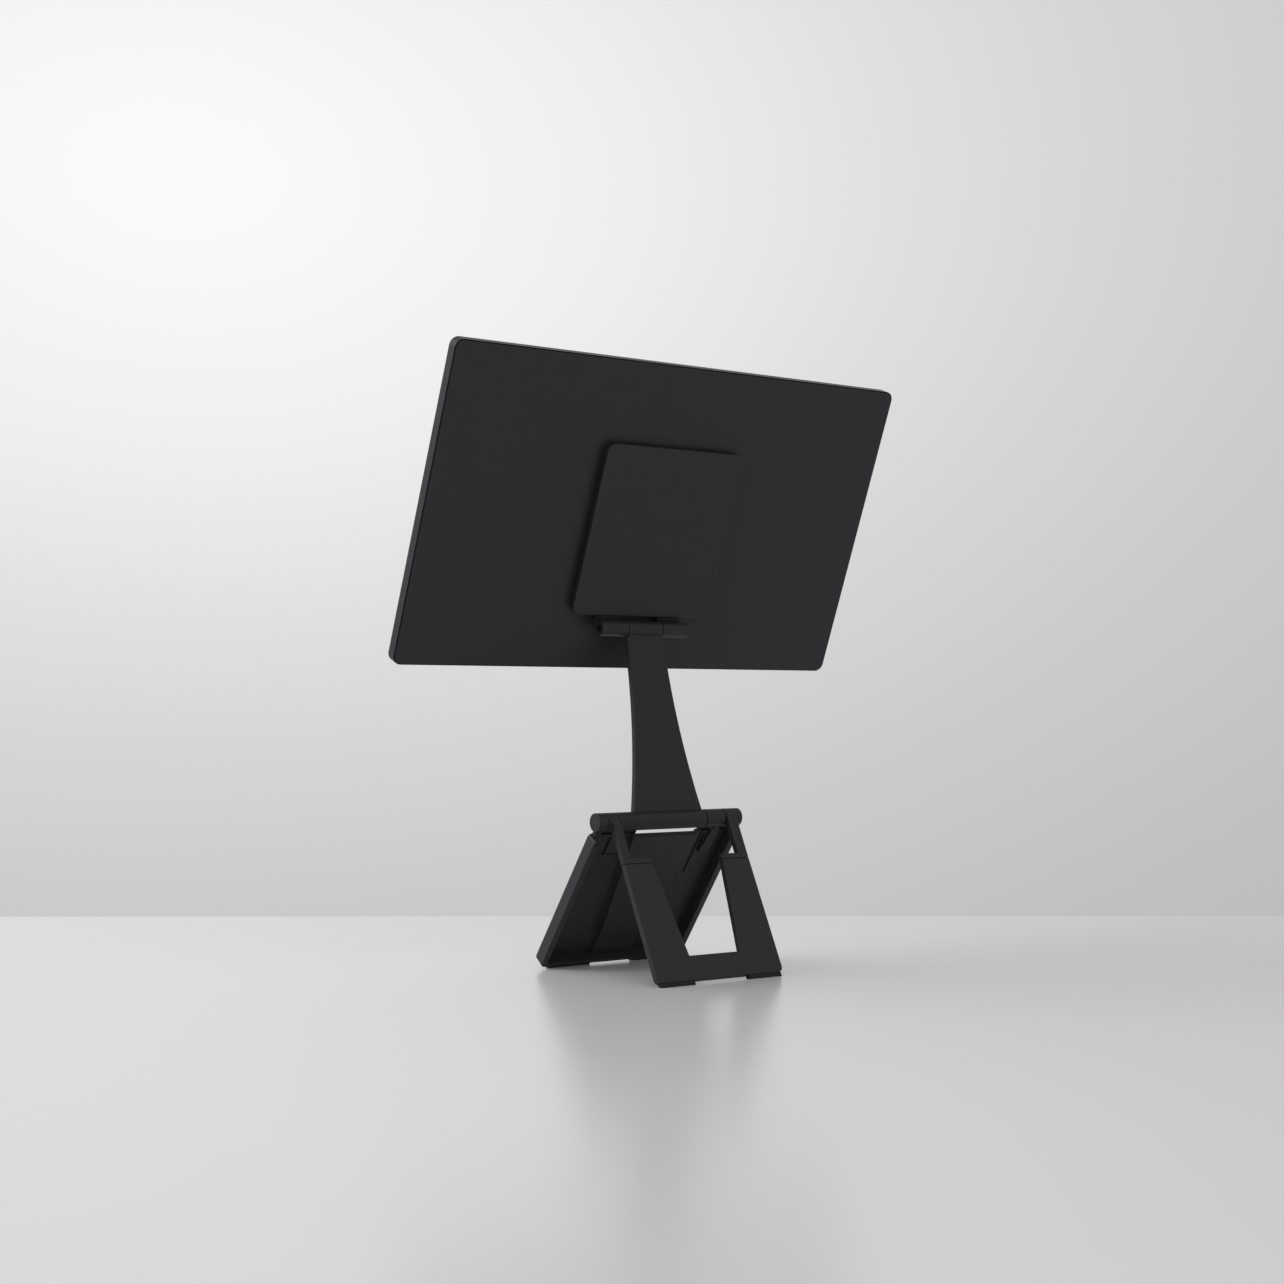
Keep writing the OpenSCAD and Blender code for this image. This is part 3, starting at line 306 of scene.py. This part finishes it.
def turned(tree, start, end):
    """Turned or ground steel: fine scratches round or along it, under a thin oil film."""
    lines = tree.nodes.new("ShaderNodeMapping")
    lines.inputs["Scale"].default_value = SCRATCH_SQUEEZE
    place = tree.nodes.new("ShaderNodeTexCoord").outputs["Object"]
    tree.links.new(place, lines.inputs["Vector"])
    scratch = noise(tree, start.outputs["Scratches"], detail=4,
        coordinates=lines.outputs["Vector"])
    shade = spread(tree, scratch, SCRATCH_DARK, SCRATCH_PALE)
    tree.links.new(shaded(tree, start.outputs["Colour"], shade), end.inputs["Colour"])
    sheen = spread(tree, scratch, -SHEEN_SCRATCH, SHEEN_SCRATCH)
    tree.links.new(reckon(tree, start.outputs["Sheen"], sheen), end.inputs["Roughness"])
    tree.links.new(scratch, end.inputs["Height"])


turned_finish = finish_group("Turned finish", ("Scratches", "Sheen"), turned)


def steel(name, colour, sheen=0.3, scratches=900):
    """Bare or plated metal with the turned finish."""
    numbers = {"Scratches": scratches, "Sheen": sheen}
    return finished(name, turned_finish, colour, numbers, STEEL_RELIEF, metallic=1.0)


bracket_finish = anodised("Anodised brackets", BRACKET_BLACK)
for side in ("outer", "inner"):
    break_edges("front_bracket_" + side, "tray_bracket_" + side, "front_leg",
        bracket_finish, BRACKET_EDGE)
dress("front_bracket_dowels", steel("Dowel steel", DOWEL_GREY))

# LOWER HINGE
# One ground steel pin runs through all five knuckles. Thin washers, dark with oil, lie
# between the knuckles, and a pressed cap closes each end.
PIN_GREY = (0.52, 0.52, 0.54, 1)
WASHER_DARK = (0.045, 0.036, 0.028, 1)
CAP_EDGE = 0.00030

dress("lower_pin", steel("Ground pin", PIN_GREY, sheen=0.22, scratches=1400))
dress("hinge_washers", steel("Oiled washers", WASHER_DARK, sheen=0.5, scratches=500))
cap_finish = anodised("Anodised caps", BRACKET_BLACK, sheen=0.4, cloud=160)
break_edges("pin_cap_front", "cap_front", "front_leg", cap_finish,
    CAP_EDGE)
break_edges("pin_cap_back", "cap_back", "back_leg", cap_finish, CAP_EDGE)

# BACK LEG
# The back leg is a flat frame with a tapered window, cut from plate. Its two brackets end
# in tongues that are let into its inner face.
LEG_BLACK = (0.0205, 0.0178, 0.0208, 1)
LEG_EDGE = 0.00030

leg_finish = anodised("Anodised back leg", LEG_BLACK, sheen=0.48)
break_edges("back_leg_frame", "leg_frame", "back_leg", leg_finish,
    LEG_EDGE)
for side in ("outer", "inner"):
    break_edges("back_bracket_" + side, "leg_bracket_" + side, "back_leg",
        bracket_finish, BRACKET_EDGE)

# BACK LEG SCREWS
# Four black steel screws hold the brackets' tongues in the frame. Their low drum heads have
# six-sided sockets.
SCREW_BLACK = (0.045, 0.043, 0.042, 1)
LEG_TILT = math.radians(26.6)
SCREW_HEAD_R = 0.0015
SCREW_HEAD_H = 0.0008
SCREW_SHANK_R = 0.0008
SCREW_LEN = 0.0033
SCREW_SOCKET_R = 0.00062
SCREW_SOCKET_H = 0.00045
LEG_SCREW_DOWN = 0.039
LEG_SCREW_FACE = 0.0019
LEG_SCREW_X = (0.0337, 0.0426, -0.0464, -0.0375)
HEAD_STEPS = 40
SHANK_STEPS = 24
SOCKET_SIDES = 6


def new_tree(name, numbers):
    """A Geometry Nodes tree: points, an axis, named sizes and a material in, a mesh out."""
    tree = bpy.data.node_groups.new(name, "GeometryNodeTree")
    sockets = tree.interface
    sockets.new_socket(name="Geometry", in_out="INPUT", socket_type="NodeSocketGeometry")
    sockets.new_socket(name="Axis", in_out="INPUT", socket_type="NodeSocketVector")
    for label in numbers:
        sockets.new_socket(name=label, in_out="INPUT", socket_type="NodeSocketFloat")
    sockets.new_socket(name="Material", in_out="INPUT", socket_type="NodeSocketMaterial")
    sockets.new_socket(name="Geometry", in_out="OUTPUT", socket_type="NodeSocketGeometry")
    return tree, tree.nodes.new("NodeGroupInput"), tree.nodes.new("NodeGroupOutput")


def geo(tree, kind, **inputs):
    """A geometry node whose inputs are numbers or links."""
    node = tree.nodes.new(kind)
    for label, value in inputs.items():
        socket = node.inputs[label.replace("_", " ")]
        if hasattr(value, "is_output"):
            tree.links.new(value, socket)
        else:
            socket.default_value = value
    return node


def along_z(tree, height):
    """A vector of a given height along Z."""
    return geo(tree, "ShaderNodeCombineXYZ", Z=height).outputs["Vector"]


def set_on_points(tree, start, end, shape):
    """Sets the shape on every point, its Z along the axis, and makes the copies real."""
    turn = geo(tree, "FunctionNodeAlignRotationToVector", Vector=start.outputs["Axis"])
    turn.axis = "Z"
    spots = geo(tree, "GeometryNodeInstanceOnPoints", Points=start.outputs["Geometry"],
        Instance=shape, Rotation=turn.outputs["Rotation"])
    real = geo(tree, "GeometryNodeRealizeInstances", Geometry=spots.outputs["Instances"])
    painted = geo(tree, "GeometryNodeSetMaterial", Geometry=real.outputs["Geometry"],
        Material=start.outputs["Material"])
    tree.links.new(painted.outputs["Geometry"], end.inputs["Geometry"])


def screw_tree():
    """A drum head with a six-sided socket cut into its top, over a plain shank."""
    tree, start, end = new_tree("Socket screws", ("Head radius", "Head height",
        "Shank radius", "Length", "Socket radius", "Socket depth"))
    sizes = start.outputs
    head = geo(tree, "GeometryNodeMeshCylinder", Vertices=HEAD_STEPS,
        Radius=sizes["Head radius"], Depth=sizes["Head height"])
    head = geo(tree, "GeometryNodeTransform", Geometry=head.outputs["Mesh"],
        Translation=along_z(tree, reckon(tree, sizes["Head height"], -0.5, "MULTIPLY")))
    cut = geo(tree, "GeometryNodeMeshCylinder", Vertices=SOCKET_SIDES,
        Radius=sizes["Socket radius"],
        Depth=reckon(tree, sizes["Socket depth"], 2, "MULTIPLY"))
    bored = geo(tree, "GeometryNodeMeshBoolean")
    bored.operation = "DIFFERENCE"
    tree.links.new(head.outputs["Geometry"], bored.inputs["Mesh 1"])
    tree.links.new(cut.outputs["Mesh"], bored.inputs["Mesh 2"])
    shank = geo(tree, "GeometryNodeMeshCylinder", Vertices=SHANK_STEPS,
        Radius=sizes["Shank radius"],
        Depth=reckon(tree, sizes["Length"], sizes["Head height"], "SUBTRACT"))
    middle = reckon(tree, sizes["Length"], sizes["Head height"])
    shank = geo(tree, "GeometryNodeTransform", Geometry=shank.outputs["Mesh"],
        Translation=along_z(tree, reckon(tree, middle, -0.5, "MULTIPLY")))
    whole = geo(tree, "GeometryNodeJoinGeometry")
    tree.links.new(shank.outputs["Geometry"], whole.inputs["Geometry"])
    tree.links.new(bored.outputs["Mesh"], whole.inputs["Geometry"])
    set_on_points(tree, start, end, whole.outputs["Geometry"])
    return tree


def on_points(tree, piece, spots, axis, values, body, material, replaced):
    """Runs a tree on a list of points and keeps the plain mesh as a piece."""
    mesh = bpy.data.meshes.new(piece + "_spots")
    mesh.from_pydata([tuple(spot) for spot in spots], [], [])
    thing = bpy.data.objects.new(piece + "_spots", mesh)
    bpy.context.scene.collection.objects.link(thing)
    modifier = thing.modifiers.new("Shapes", "NODES")
    modifier.node_group = tree
    values = dict(values, Axis=tuple(axis), Material=material)
    for item in tree.interface.items_tree:
        if item.in_out == "INPUT" and item.name in values:
            modifier[item.identifier] = values[item.name]
    return settle(thing, piece, body, material, replaced)


leg_place = (Matrix.Translation(joints["back_leg_hinge"]["pos_m"])
    @ Matrix.Rotation(LEG_TILT, 4, "X"))
screw_sizes = {
    "Head radius": SCREW_HEAD_R,
    "Head height": SCREW_HEAD_H,
    "Shank radius": SCREW_SHANK_R,
    "Length": SCREW_LEN,
    "Socket radius": SCREW_SOCKET_R,
    "Socket depth": SCREW_SOCKET_H,
}
on_points(screw_tree(), "leg_screws",
    [leg_place @ Vector((x, LEG_SCREW_FACE, -LEG_SCREW_DOWN)) for x in LEG_SCREW_X],
    leg_place.to_3x3() @ Vector((0, -1, 0)), screw_sizes, "back_leg",
    steel("Black screw steel", SCREW_BLACK, sheen=0.42, scratches=700),
    replaced=("back_bracket_screws",))

# FEET
# Four pads of black rubber are bonded into the legs' lower ends. Their faces are cut level
# with the floor and their edges are worn a little round.
RUBBER_BLACK = (0.010, 0.010, 0.0105, 1)
FOOT_EDGE = 0.00025
BLOOM_PATCHES = 90
BLOOM_DARK = 0.9
BLOOM_PALE = 1.18
SHEEN_TEXTURE = 0.05
MOULD_RELIEF = (0.3, 0.00003)


def moulded(tree, start, end):
    """A moulded face: a fine even texture with a little bloom in wide patches."""
    texture = noise(tree, start.outputs["Texture"], detail=5)
    bloom = noise(tree, start.outputs["Bloom"], detail=3)
    shade = spread(tree, bloom, BLOOM_DARK, BLOOM_PALE)
    tree.links.new(shaded(tree, start.outputs["Colour"], shade), end.inputs["Colour"])
    sheen = spread(tree, texture, -SHEEN_TEXTURE, SHEEN_TEXTURE)
    tree.links.new(reckon(tree, start.outputs["Sheen"], sheen), end.inputs["Roughness"])
    tree.links.new(texture, end.inputs["Height"])


moulded_finish = finish_group("Moulded finish", ("Texture", "Bloom", "Sheen"), moulded)


def mould(name, colour, sheen, texture=2400, relief=MOULD_RELIEF, specular=0.4):
    """Rubber, plastic or film with the moulded finish."""
    numbers = {"Texture": texture, "Bloom": BLOOM_PATCHES, "Sheen": sheen}
    return finished(name, moulded_finish, colour, numbers, relief, specular=specular)


rubber = mould("Foot rubber", RUBBER_BLACK, sheen=0.78)
for body, leg in (("front_leg", "front"), ("back_leg", "back")):
    for side in ("left", "right"):
        break_edges(leg + "_foot_" + side, leg + "_pad_" + side, body,
            rubber, FOOT_EDGE)

# ARM
# The arm is a waisted plate whose sleeve turns on the long pin. It is blasted and anodised
# like the legs, and bronze bushes inside both barrels give the hinges their drag.
ARM_BLACK = (0.0180, 0.0165, 0.0185, 1)
ARM_EDGE = 0.00035
BRONZE = (0.55, 0.37, 0.17, 1)

arm_finish = anodised("Anodised arm", ARM_BLACK, sheen=0.47)
break_edges("arm", "arm_plate", "arm", arm_finish, ARM_EDGE)
bronze = steel("Bush bronze", BRONZE, sheen=0.38, scratches=500)
dress("lower_bushes", bronze)
dress("upper_bush", bronze)

# MAGNETIC PLATE
# A square plate of anodised aluminium with a fine chamfer backs a moulded carrier, which
# holds eight nickel-plated magnets behind a thin rubber face. Two leaves hang it on the
# upper pin.
PLATE_BLACK = (0.0200, 0.0172, 0.0208, 1)
PLATE_EDGE = 0.00022
CARRIER_BLACK = (0.0125, 0.0125, 0.0130, 1)
CARRIER_EDGE = 0.00030
FACE_PAD_EDGE = 0.00020
NICKEL = (0.66, 0.65, 0.63, 1)
ZINC = (0.50, 0.51, 0.52, 1)

plate_finish = anodised("Anodised plate", PLATE_BLACK, cloud=55)
break_edges("mount_plate", "square_plate", "plate", plate_finish,
    PLATE_EDGE)
for side in ("left", "right"):
    break_edges("plate_hinge_" + side, "plate_leaf_" + side, "plate",
        bracket_finish, BRACKET_EDGE)
carrier_finish = mould("Carrier plastic", CARRIER_BLACK, sheen=0.55, texture=1800)
break_edges("magnet_carrier", "carrier", "plate", carrier_finish,
    CARRIER_EDGE)
break_edges("plate_face_pad", "face_pad", "plate",
    mould("Face rubber", RUBBER_BLACK, sheen=0.85, texture=3600), FACE_PAD_EDGE)
dress("plate_magnets", steel("Nickel plate", NICKEL, sheen=0.16, scratches=300))
zinc = steel("Zinc plate", ZINC, sheen=0.34, scratches=600)
dress("plate_hinge_screws", zinc)
dress("upper_pin", steel("Black pin", SCREW_BLACK, sheen=0.35, scratches=1200))

# MONITOR CASE
# The rear cover is one milled shell of aluminium, blasted and anodised a slightly bluer
# black than the stand. A near-black, dull strip in the chamfer round its back is painted
# shade: it paints the dark line along the back edge as colour. Sockets, buttons and sound
# holes cut its walls.
CASE_BLACK = (0.0200, 0.0168, 0.0215, 1)
CASE_EDGE = 0.00015
BUTTON_EDGE = 0.00020
CASE_W = 0.3596
CASE_H = 0.2122
CASE_CORNER = 0.006
CASE_TILT = math.radians(22)
CASE_DROP = 0.0327
CASE_FORWARD = 0.0111
CORNER_STEPS = 8
# Painted shade: the strip's near-black colour stands in for the dark line of shade along the
# chamfer.
PAINTED_SHADE_BLACK = (0.0028, 0.0026, 0.0032, 1)
STRIP_LOW = 0.00006
STRIP_HIGH = 0.00062
STRIP_PROUD = 0.00003
STRIP_SUNK = 0.00012

case_place = (Matrix.Translation(joints["screen_tilt"]["pos_m"])
    @ Matrix.Rotation(-CASE_TILT, 4, "X")
    @ Matrix.Translation((0, -CASE_FORWARD, -CASE_DROP)))
case_finish = anodised("Anodised case", CASE_BLACK, sheen=0.44, cloud=28)
break_edges("rear_cover", "case_shell", "monitor", case_finish, CASE_EDGE)


def case_outline(inset):
    """Points round the case at a distance inside its outline, as (x, height)."""
    corner = CASE_CORNER - inset
    across = CASE_W / 2 - CASE_CORNER
    up = CASE_H / 2 - CASE_CORNER
    points = []
    for quarter, (side, end) in enumerate(((1, 1), (-1, 1), (-1, -1), (1, -1))):
        for step in range(CORNER_STEPS + 1):
            turn = math.pi / 2 * (quarter + step / CORNER_STEPS)
            points.append((side * across + corner * math.cos(turn),
                CASE_H / 2 + end * up + corner * math.sin(turn)))
    return points


def painted_shade_strip():
    """The painted shade in the chamfer: a thin dark bar of four corners swept round the case."""
    proud = STRIP_LOW - STRIP_PROUD
    bar = [(STRIP_HIGH, proud), (proud, STRIP_HIGH),
        (STRIP_LOW + STRIP_SUNK, STRIP_HIGH + STRIP_SUNK),
        (STRIP_HIGH + STRIP_SUNK, STRIP_LOW + STRIP_SUNK)]
    rings = [[case_place @ Vector((x, -depth, z)) for x, z in case_outline(inset)]
        for inset, depth in bar]
    count = len(rings[0])
    faces = []
    for corner in range(len(bar)):
        here = corner * count
        there = (corner + 1) % len(bar) * count
        for k in range(count):
            after = (k + 1) % count
            faces.append((here + k, here + after, there + after, there + k))
    # A dull, near-black finish with little gloss, so that the strip reads as the painted shade
    # line.
    made_piece("back_painted_shade_strip", [point for ring in rings for point in ring], faces,
        "monitor",
        mould("Painted shade strip", PAINTED_SHADE_BLACK, sheen=0.85, specular=0.12))


painted_shade_strip()
button_finish = anodised("Anodised buttons", CASE_BLACK, sheen=0.36, cloud=160)
break_edges("power_button", "power_cap", "power_button", button_finish,
    BUTTON_EDGE)
break_edges("menu_button", "menu_cap", "menu_button", button_finish,
    BUTTON_EDGE)

# SCREEN
# A cover glass with a black printed border lies over the display panel. The screen is off,
# so the panel behind the glass is only a little paler than the border.
BORDER_BLACK = (0.0035, 0.0035, 0.0040, 1)
PANEL_BLACK = (0.0085, 0.0090, 0.0115, 1)
SCREEN_HALF_W = 0.1722
SCREEN_HALF_H = 0.0969
SCREEN_RISE = 0.1086
GLASS_EDGE = 0.00030
GLASS_EDGE_STEPS = 3
GLASS_COAT = 0.3
GLASS_SMEARS = 14
GLASS_CLEAN = 0.05
GLASS_SMEARED = 0.09
PANEL_RELIEF = (0.05, 0.00001)


def screen_material():
    """Glass that shows the dark panel in a rectangle, and round it the printed border."""
    material = bpy.data.materials.new("Cover glass")
    material.use_nodes = True
    tree = material.node_tree
    shader = tree.nodes["Principled BSDF"]
    shader.inputs["Coat Weight"].default_value = GLASS_COAT
    place = tree.nodes.new("ShaderNodeMapping")
    place.vector_type = "TEXTURE"
    place.inputs["Location"].default_value = case_place @ Vector((0, 0, SCREEN_RISE))
    place.inputs["Rotation"].default_value = (-CASE_TILT, 0, 0)
    coordinates = tree.nodes.new("ShaderNodeTexCoord").outputs["Object"]
    tree.links.new(coordinates, place.inputs["Vector"])
    split = tree.nodes.new("ShaderNodeSeparateXYZ")
    tree.links.new(place.outputs["Vector"], split.inputs["Vector"])
    within = []
    for label, half in (("X", SCREEN_HALF_W), ("Z", SCREEN_HALF_H)):
        reach = reckon(tree, split.outputs[label], 0, "ABSOLUTE")
        within.append(reckon(tree, reach, half, "LESS_THAN"))
    mix = tree.nodes.new("ShaderNodeMix")
    mix.data_type = "RGBA"
    mix.inputs["A"].default_value = BORDER_BLACK
    mix.inputs["B"].default_value = PANEL_BLACK
    tree.links.new(reckon(tree, within[0], within[1], "MULTIPLY"), mix.inputs["Factor"])
    tree.links.new(mix.outputs["Result"], shader.inputs["Base Color"])
    smear = noise(tree, GLASS_SMEARS, detail=4)
    tree.links.new(spread(tree, smear, GLASS_CLEAN, GLASS_SMEARED),
        shader.inputs["Roughness"])
    return material


break_edges("front_glass", "cover_glass", "monitor", screen_material(),
    GLASS_EDGE, GLASS_EDGE_STEPS)
dress("lcd_panel", mould("Panel glass", PANEL_BLACK, sheen=0.25, texture=900,
    relief=PANEL_RELIEF))

# INSIDE THE CASE
# Behind the panel lie a clear light guide, its row of lamps, a pressed frame, the main
# board and two loudspeakers. They are seen only when the case is open.
GUIDE_CLEAR = (0.80, 0.82, 0.83, 1)
LAMP_CREAM = (0.80, 0.79, 0.62, 1)
FRAME_GREY = (0.55, 0.55, 0.56, 1)
BOARD_GREEN = (0.014, 0.075, 0.034, 1)
SWITCH_BLACK = (0.020, 0.020, 0.020, 1)
SPEAKER_BLACK = (0.018, 0.018, 0.018, 1)
CABLE_AMBER = (0.42, 0.22, 0.06, 1)
SHELL_GREY = (0.60, 0.60, 0.61, 1)

speaker_plastic = mould("Speaker plastic", SPEAKER_BLACK, sheen=0.6)
socket_shell = steel("Socket shell", SHELL_GREY, sheen=0.28, scratches=500)
inner_finishes = {
    "light_guide": mould("Light guide", GUIDE_CLEAR, sheen=0.2, texture=400,
        relief=PANEL_RELIEF),
    "lamp_strip": mould("Lamp strip", LAMP_CREAM, sheen=0.4, texture=700),
    "mid_frame": steel("Pressed frame", FRAME_GREY, sheen=0.38, scratches=350),
    "steel_target": zinc,
    "main_board": mould("Solder mask", BOARD_GREEN, sheen=0.35, texture=700),
    "board_screws": zinc,
    "button_switches": mould("Switch plastic", SWITCH_BLACK, sheen=0.5),
    "speaker_left": speaker_plastic,
    "speaker_right": speaker_plastic,
    "panel_cable": mould("Amber film", CABLE_AMBER, sheen=0.3, texture=500),
    "picture_socket": socket_shell,
    "usb_c_sockets": socket_shell,
}
for node, material in inner_finishes.items():
    dress(node, material)

# TABLE AND BACKDROP
# The stand is photographed on a pale satin table with a straight far edge, in front of a
# backdrop that is brightest at the upper left and falls away to a soft grey.
LOOK_YAW = math.radians(144.17)
LOOK_PITCH = math.radians(91.93)
CAMERA_PLACE = Vector((0.7876, 1.0616 + joints["arm_hinge"]["pos_m"][1], 0.1751))
FOCAL_PIXELS = 1981.1
IMAGE_PIXELS = 1284
TABLE_EDGE = 1.68
TABLE_SKEW = math.radians(0.3)
TABLE_WIDE = 4.4
TABLE_DEEP = 3.4
TABLE_PALE = (0.76, 0.76, 0.765, 1)
TABLE_DUSKY = (0.7562, 0.7562, 0.761175, 1)
TABLE_MOTTLE = 5
TABLE_RUB = 30
TABLE_SATIN = 0.25
TABLE_DULL = 0.26
GLOW_RIGHT = -0.223
GLOW_UP = 0.257
GLOW_WIDE = 0.75
GLOW_TALL = 1.2
GLOW_STEPS = ((0.0, 0.98), (0.17, 0.85), (0.30, 0.69), (0.42, 0.60), (0.58, 0.50),
    (1.0, 0.45))
SOFT_LEVEL = 0.55
SOFT_LEAN = 0.33

ahead = Vector((-math.sin(LOOK_YAW), math.cos(LOOK_YAW), 0))
rightward = Vector((math.cos(LOOK_YAW), math.sin(LOOK_YAW), 0))
upward = Vector((0, 0, 1))


def table_material():
    """Satin laminate: a faint mottle under a soft blurred reflection."""
    material = bpy.data.materials.new("Table laminate")
    material.use_nodes = True
    tree = material.node_tree
    shader = tree.nodes["Principled BSDF"]
    rub = noise(tree, TABLE_RUB, detail=3)
    tree.links.new(spread(tree, rub, TABLE_SATIN, TABLE_DULL), shader.inputs["Roughness"])
    mix = tree.nodes.new("ShaderNodeMix")
    mix.data_type = "RGBA"
    mix.inputs["A"].default_value = TABLE_PALE
    mix.inputs["B"].default_value = TABLE_DUSKY
    tree.links.new(noise(tree, TABLE_MOTTLE, detail=2), mix.inputs["Factor"])
    tree.links.new(mix.outputs["Result"], shader.inputs["Base Color"])
    return material


def table():
    """The table's top: one face whose far edge is nearly square to the view."""
    foot = Vector((CAMERA_PLACE.x, CAMERA_PLACE.y, 0))
    side = Matrix.Rotation(TABLE_SKEW, 3, "Z") @ rightward * TABLE_WIDE / 2
    far = foot + ahead * TABLE_EDGE
    near = far - ahead * TABLE_DEEP
    mesh = bpy.data.meshes.new("table")
    mesh.from_pydata([near - side, near + side, far + side, far - side], [], [(0, 1, 2, 3)])
    mesh.materials.append(table_material())
    top = bpy.data.objects.new("table", mesh)
    bpy.context.scene.collection.objects.link(top)
    return top


table()


def along(tree, direction, axis):
    """How far a direction reaches along an axis."""
    node = tree.nodes.new("ShaderNodeVectorMath")
    node.operation = "DOT_PRODUCT"
    tree.links.new(direction, node.inputs[0])
    node.inputs[1].default_value = axis
    return node.outputs["Value"]


def backdrop():
    """A glow for the rays that show it, and soft light from the left for the others."""
    world = bpy.data.worlds.new("Backdrop")
    world.use_nodes = True
    tree = world.node_tree
    place = tree.nodes.new("ShaderNodeTexCoord").outputs["Generated"]
    reaches = []
    for axis, centre, stretch in ((rightward, GLOW_RIGHT, GLOW_WIDE),
            (upward, GLOW_UP, GLOW_TALL)):
        off = reckon(tree, along(tree, place, axis), centre, "SUBTRACT")
        off = reckon(tree, off, stretch, "MULTIPLY")
        reaches.append(reckon(tree, off, off, "MULTIPLY"))
    reach = reckon(tree, reckon(tree, reaches[0], reaches[1]), 0.5, "POWER")
    ramp = tree.nodes.new("ShaderNodeValToRGB")
    ramp.color_ramp.interpolation = "B_SPLINE"
    steps = ramp.color_ramp.elements
    for step, (position, level) in zip(steps, (GLOW_STEPS[0], GLOW_STEPS[-1])):
        step.position = position
        step.color = (level, level, level, 1)
    for position, level in GLOW_STEPS[1:-1]:
        steps.new(position).color = (level, level, level, 1)
    tree.links.new(reach, ramp.inputs["Fac"])
    shown = tree.nodes["Background"]
    tree.links.new(ramp.outputs["Color"], shown.inputs["Color"])
    soft = tree.nodes.new("ShaderNodeBackground")
    soft.inputs["Color"].default_value = (1, 1, 1, 1)
    lean = along(tree, place, rightward * -SOFT_LEAN)
    tree.links.new(reckon(tree, lean, SOFT_LEVEL), soft.inputs["Strength"])
    rays = tree.nodes.new("ShaderNodeLightPath").outputs
    seen = reckon(tree, rays["Is Camera Ray"], rays["Is Glossy Ray"], "MAXIMUM")
    seen = reckon(tree, seen, rays["Is Transmission Ray"], "MAXIMUM")
    mix = tree.nodes.new("ShaderNodeMixShader")
    tree.links.new(seen, mix.inputs["Fac"])
    tree.links.new(soft.outputs["Background"], mix.inputs[1])
    tree.links.new(shown.outputs["Background"], mix.inputs[2])
    tree.links.new(mix.outputs["Shader"], tree.nodes["World Output"].inputs["Surface"])
    return world


bpy.context.scene.world = backdrop()

# LIGHTS
# One large soft box stands high at the stand's left, as the camera sees it, and a weaker
# one above the camera fills the side that faces it.
STAND_MIDDLE = Vector((0, 0, 0.16))
KEY_OFFSET = (-1.7, -0.3, 1.25)
KEY_SIZE = (1.5, 1.5)
KEY_WATTS = 17
FILL_OFFSET = (0.6, -1.6, 1.3)
FILL_SIZE = (1.6, 1.2)
FILL_WATTS = 5


def soft_box(name, offset, size, watts):
    """A lamp at an offset to the right, ahead and up of the stand, turned to face it."""
    light = bpy.data.lights.new(name, "AREA")
    light.shape = "RECTANGLE"
    light.size, light.size_y = size
    light.energy = watts
    lamp = bpy.data.objects.new(name, light)
    bpy.context.scene.collection.objects.link(lamp)
    right, forward, up = offset
    place = rightward * right + ahead * forward + upward * up
    lamp.location = STAND_MIDDLE + place
    lamp.rotation_euler = (-place).to_track_quat("-Z", "Y").to_euler()


soft_box("key_box", KEY_OFFSET, KEY_SIZE, KEY_WATTS)
soft_box("fill_box", FILL_OFFSET, FILL_SIZE, FILL_WATTS)

# CAMERA
# The camera stands low behind the monitor, a little to one side, and looks almost level.
# Its place and its lens are fitted to the outline of the object.
SENSOR_WIDTH = 36

camera = bpy.data.cameras.new("camera")
camera.sensor_width = SENSOR_WIDTH
camera.lens = FOCAL_PIXELS / IMAGE_PIXELS * SENSOR_WIDTH
viewer = bpy.data.objects.new("camera", camera)
bpy.context.scene.collection.objects.link(viewer)
viewer.location = CAMERA_PLACE
viewer.rotation_euler = (LOOK_PITCH, 0, LOOK_YAW)
bpy.context.scene.camera = viewer
bpy.context.scene.view_settings.view_transform = "Standard"
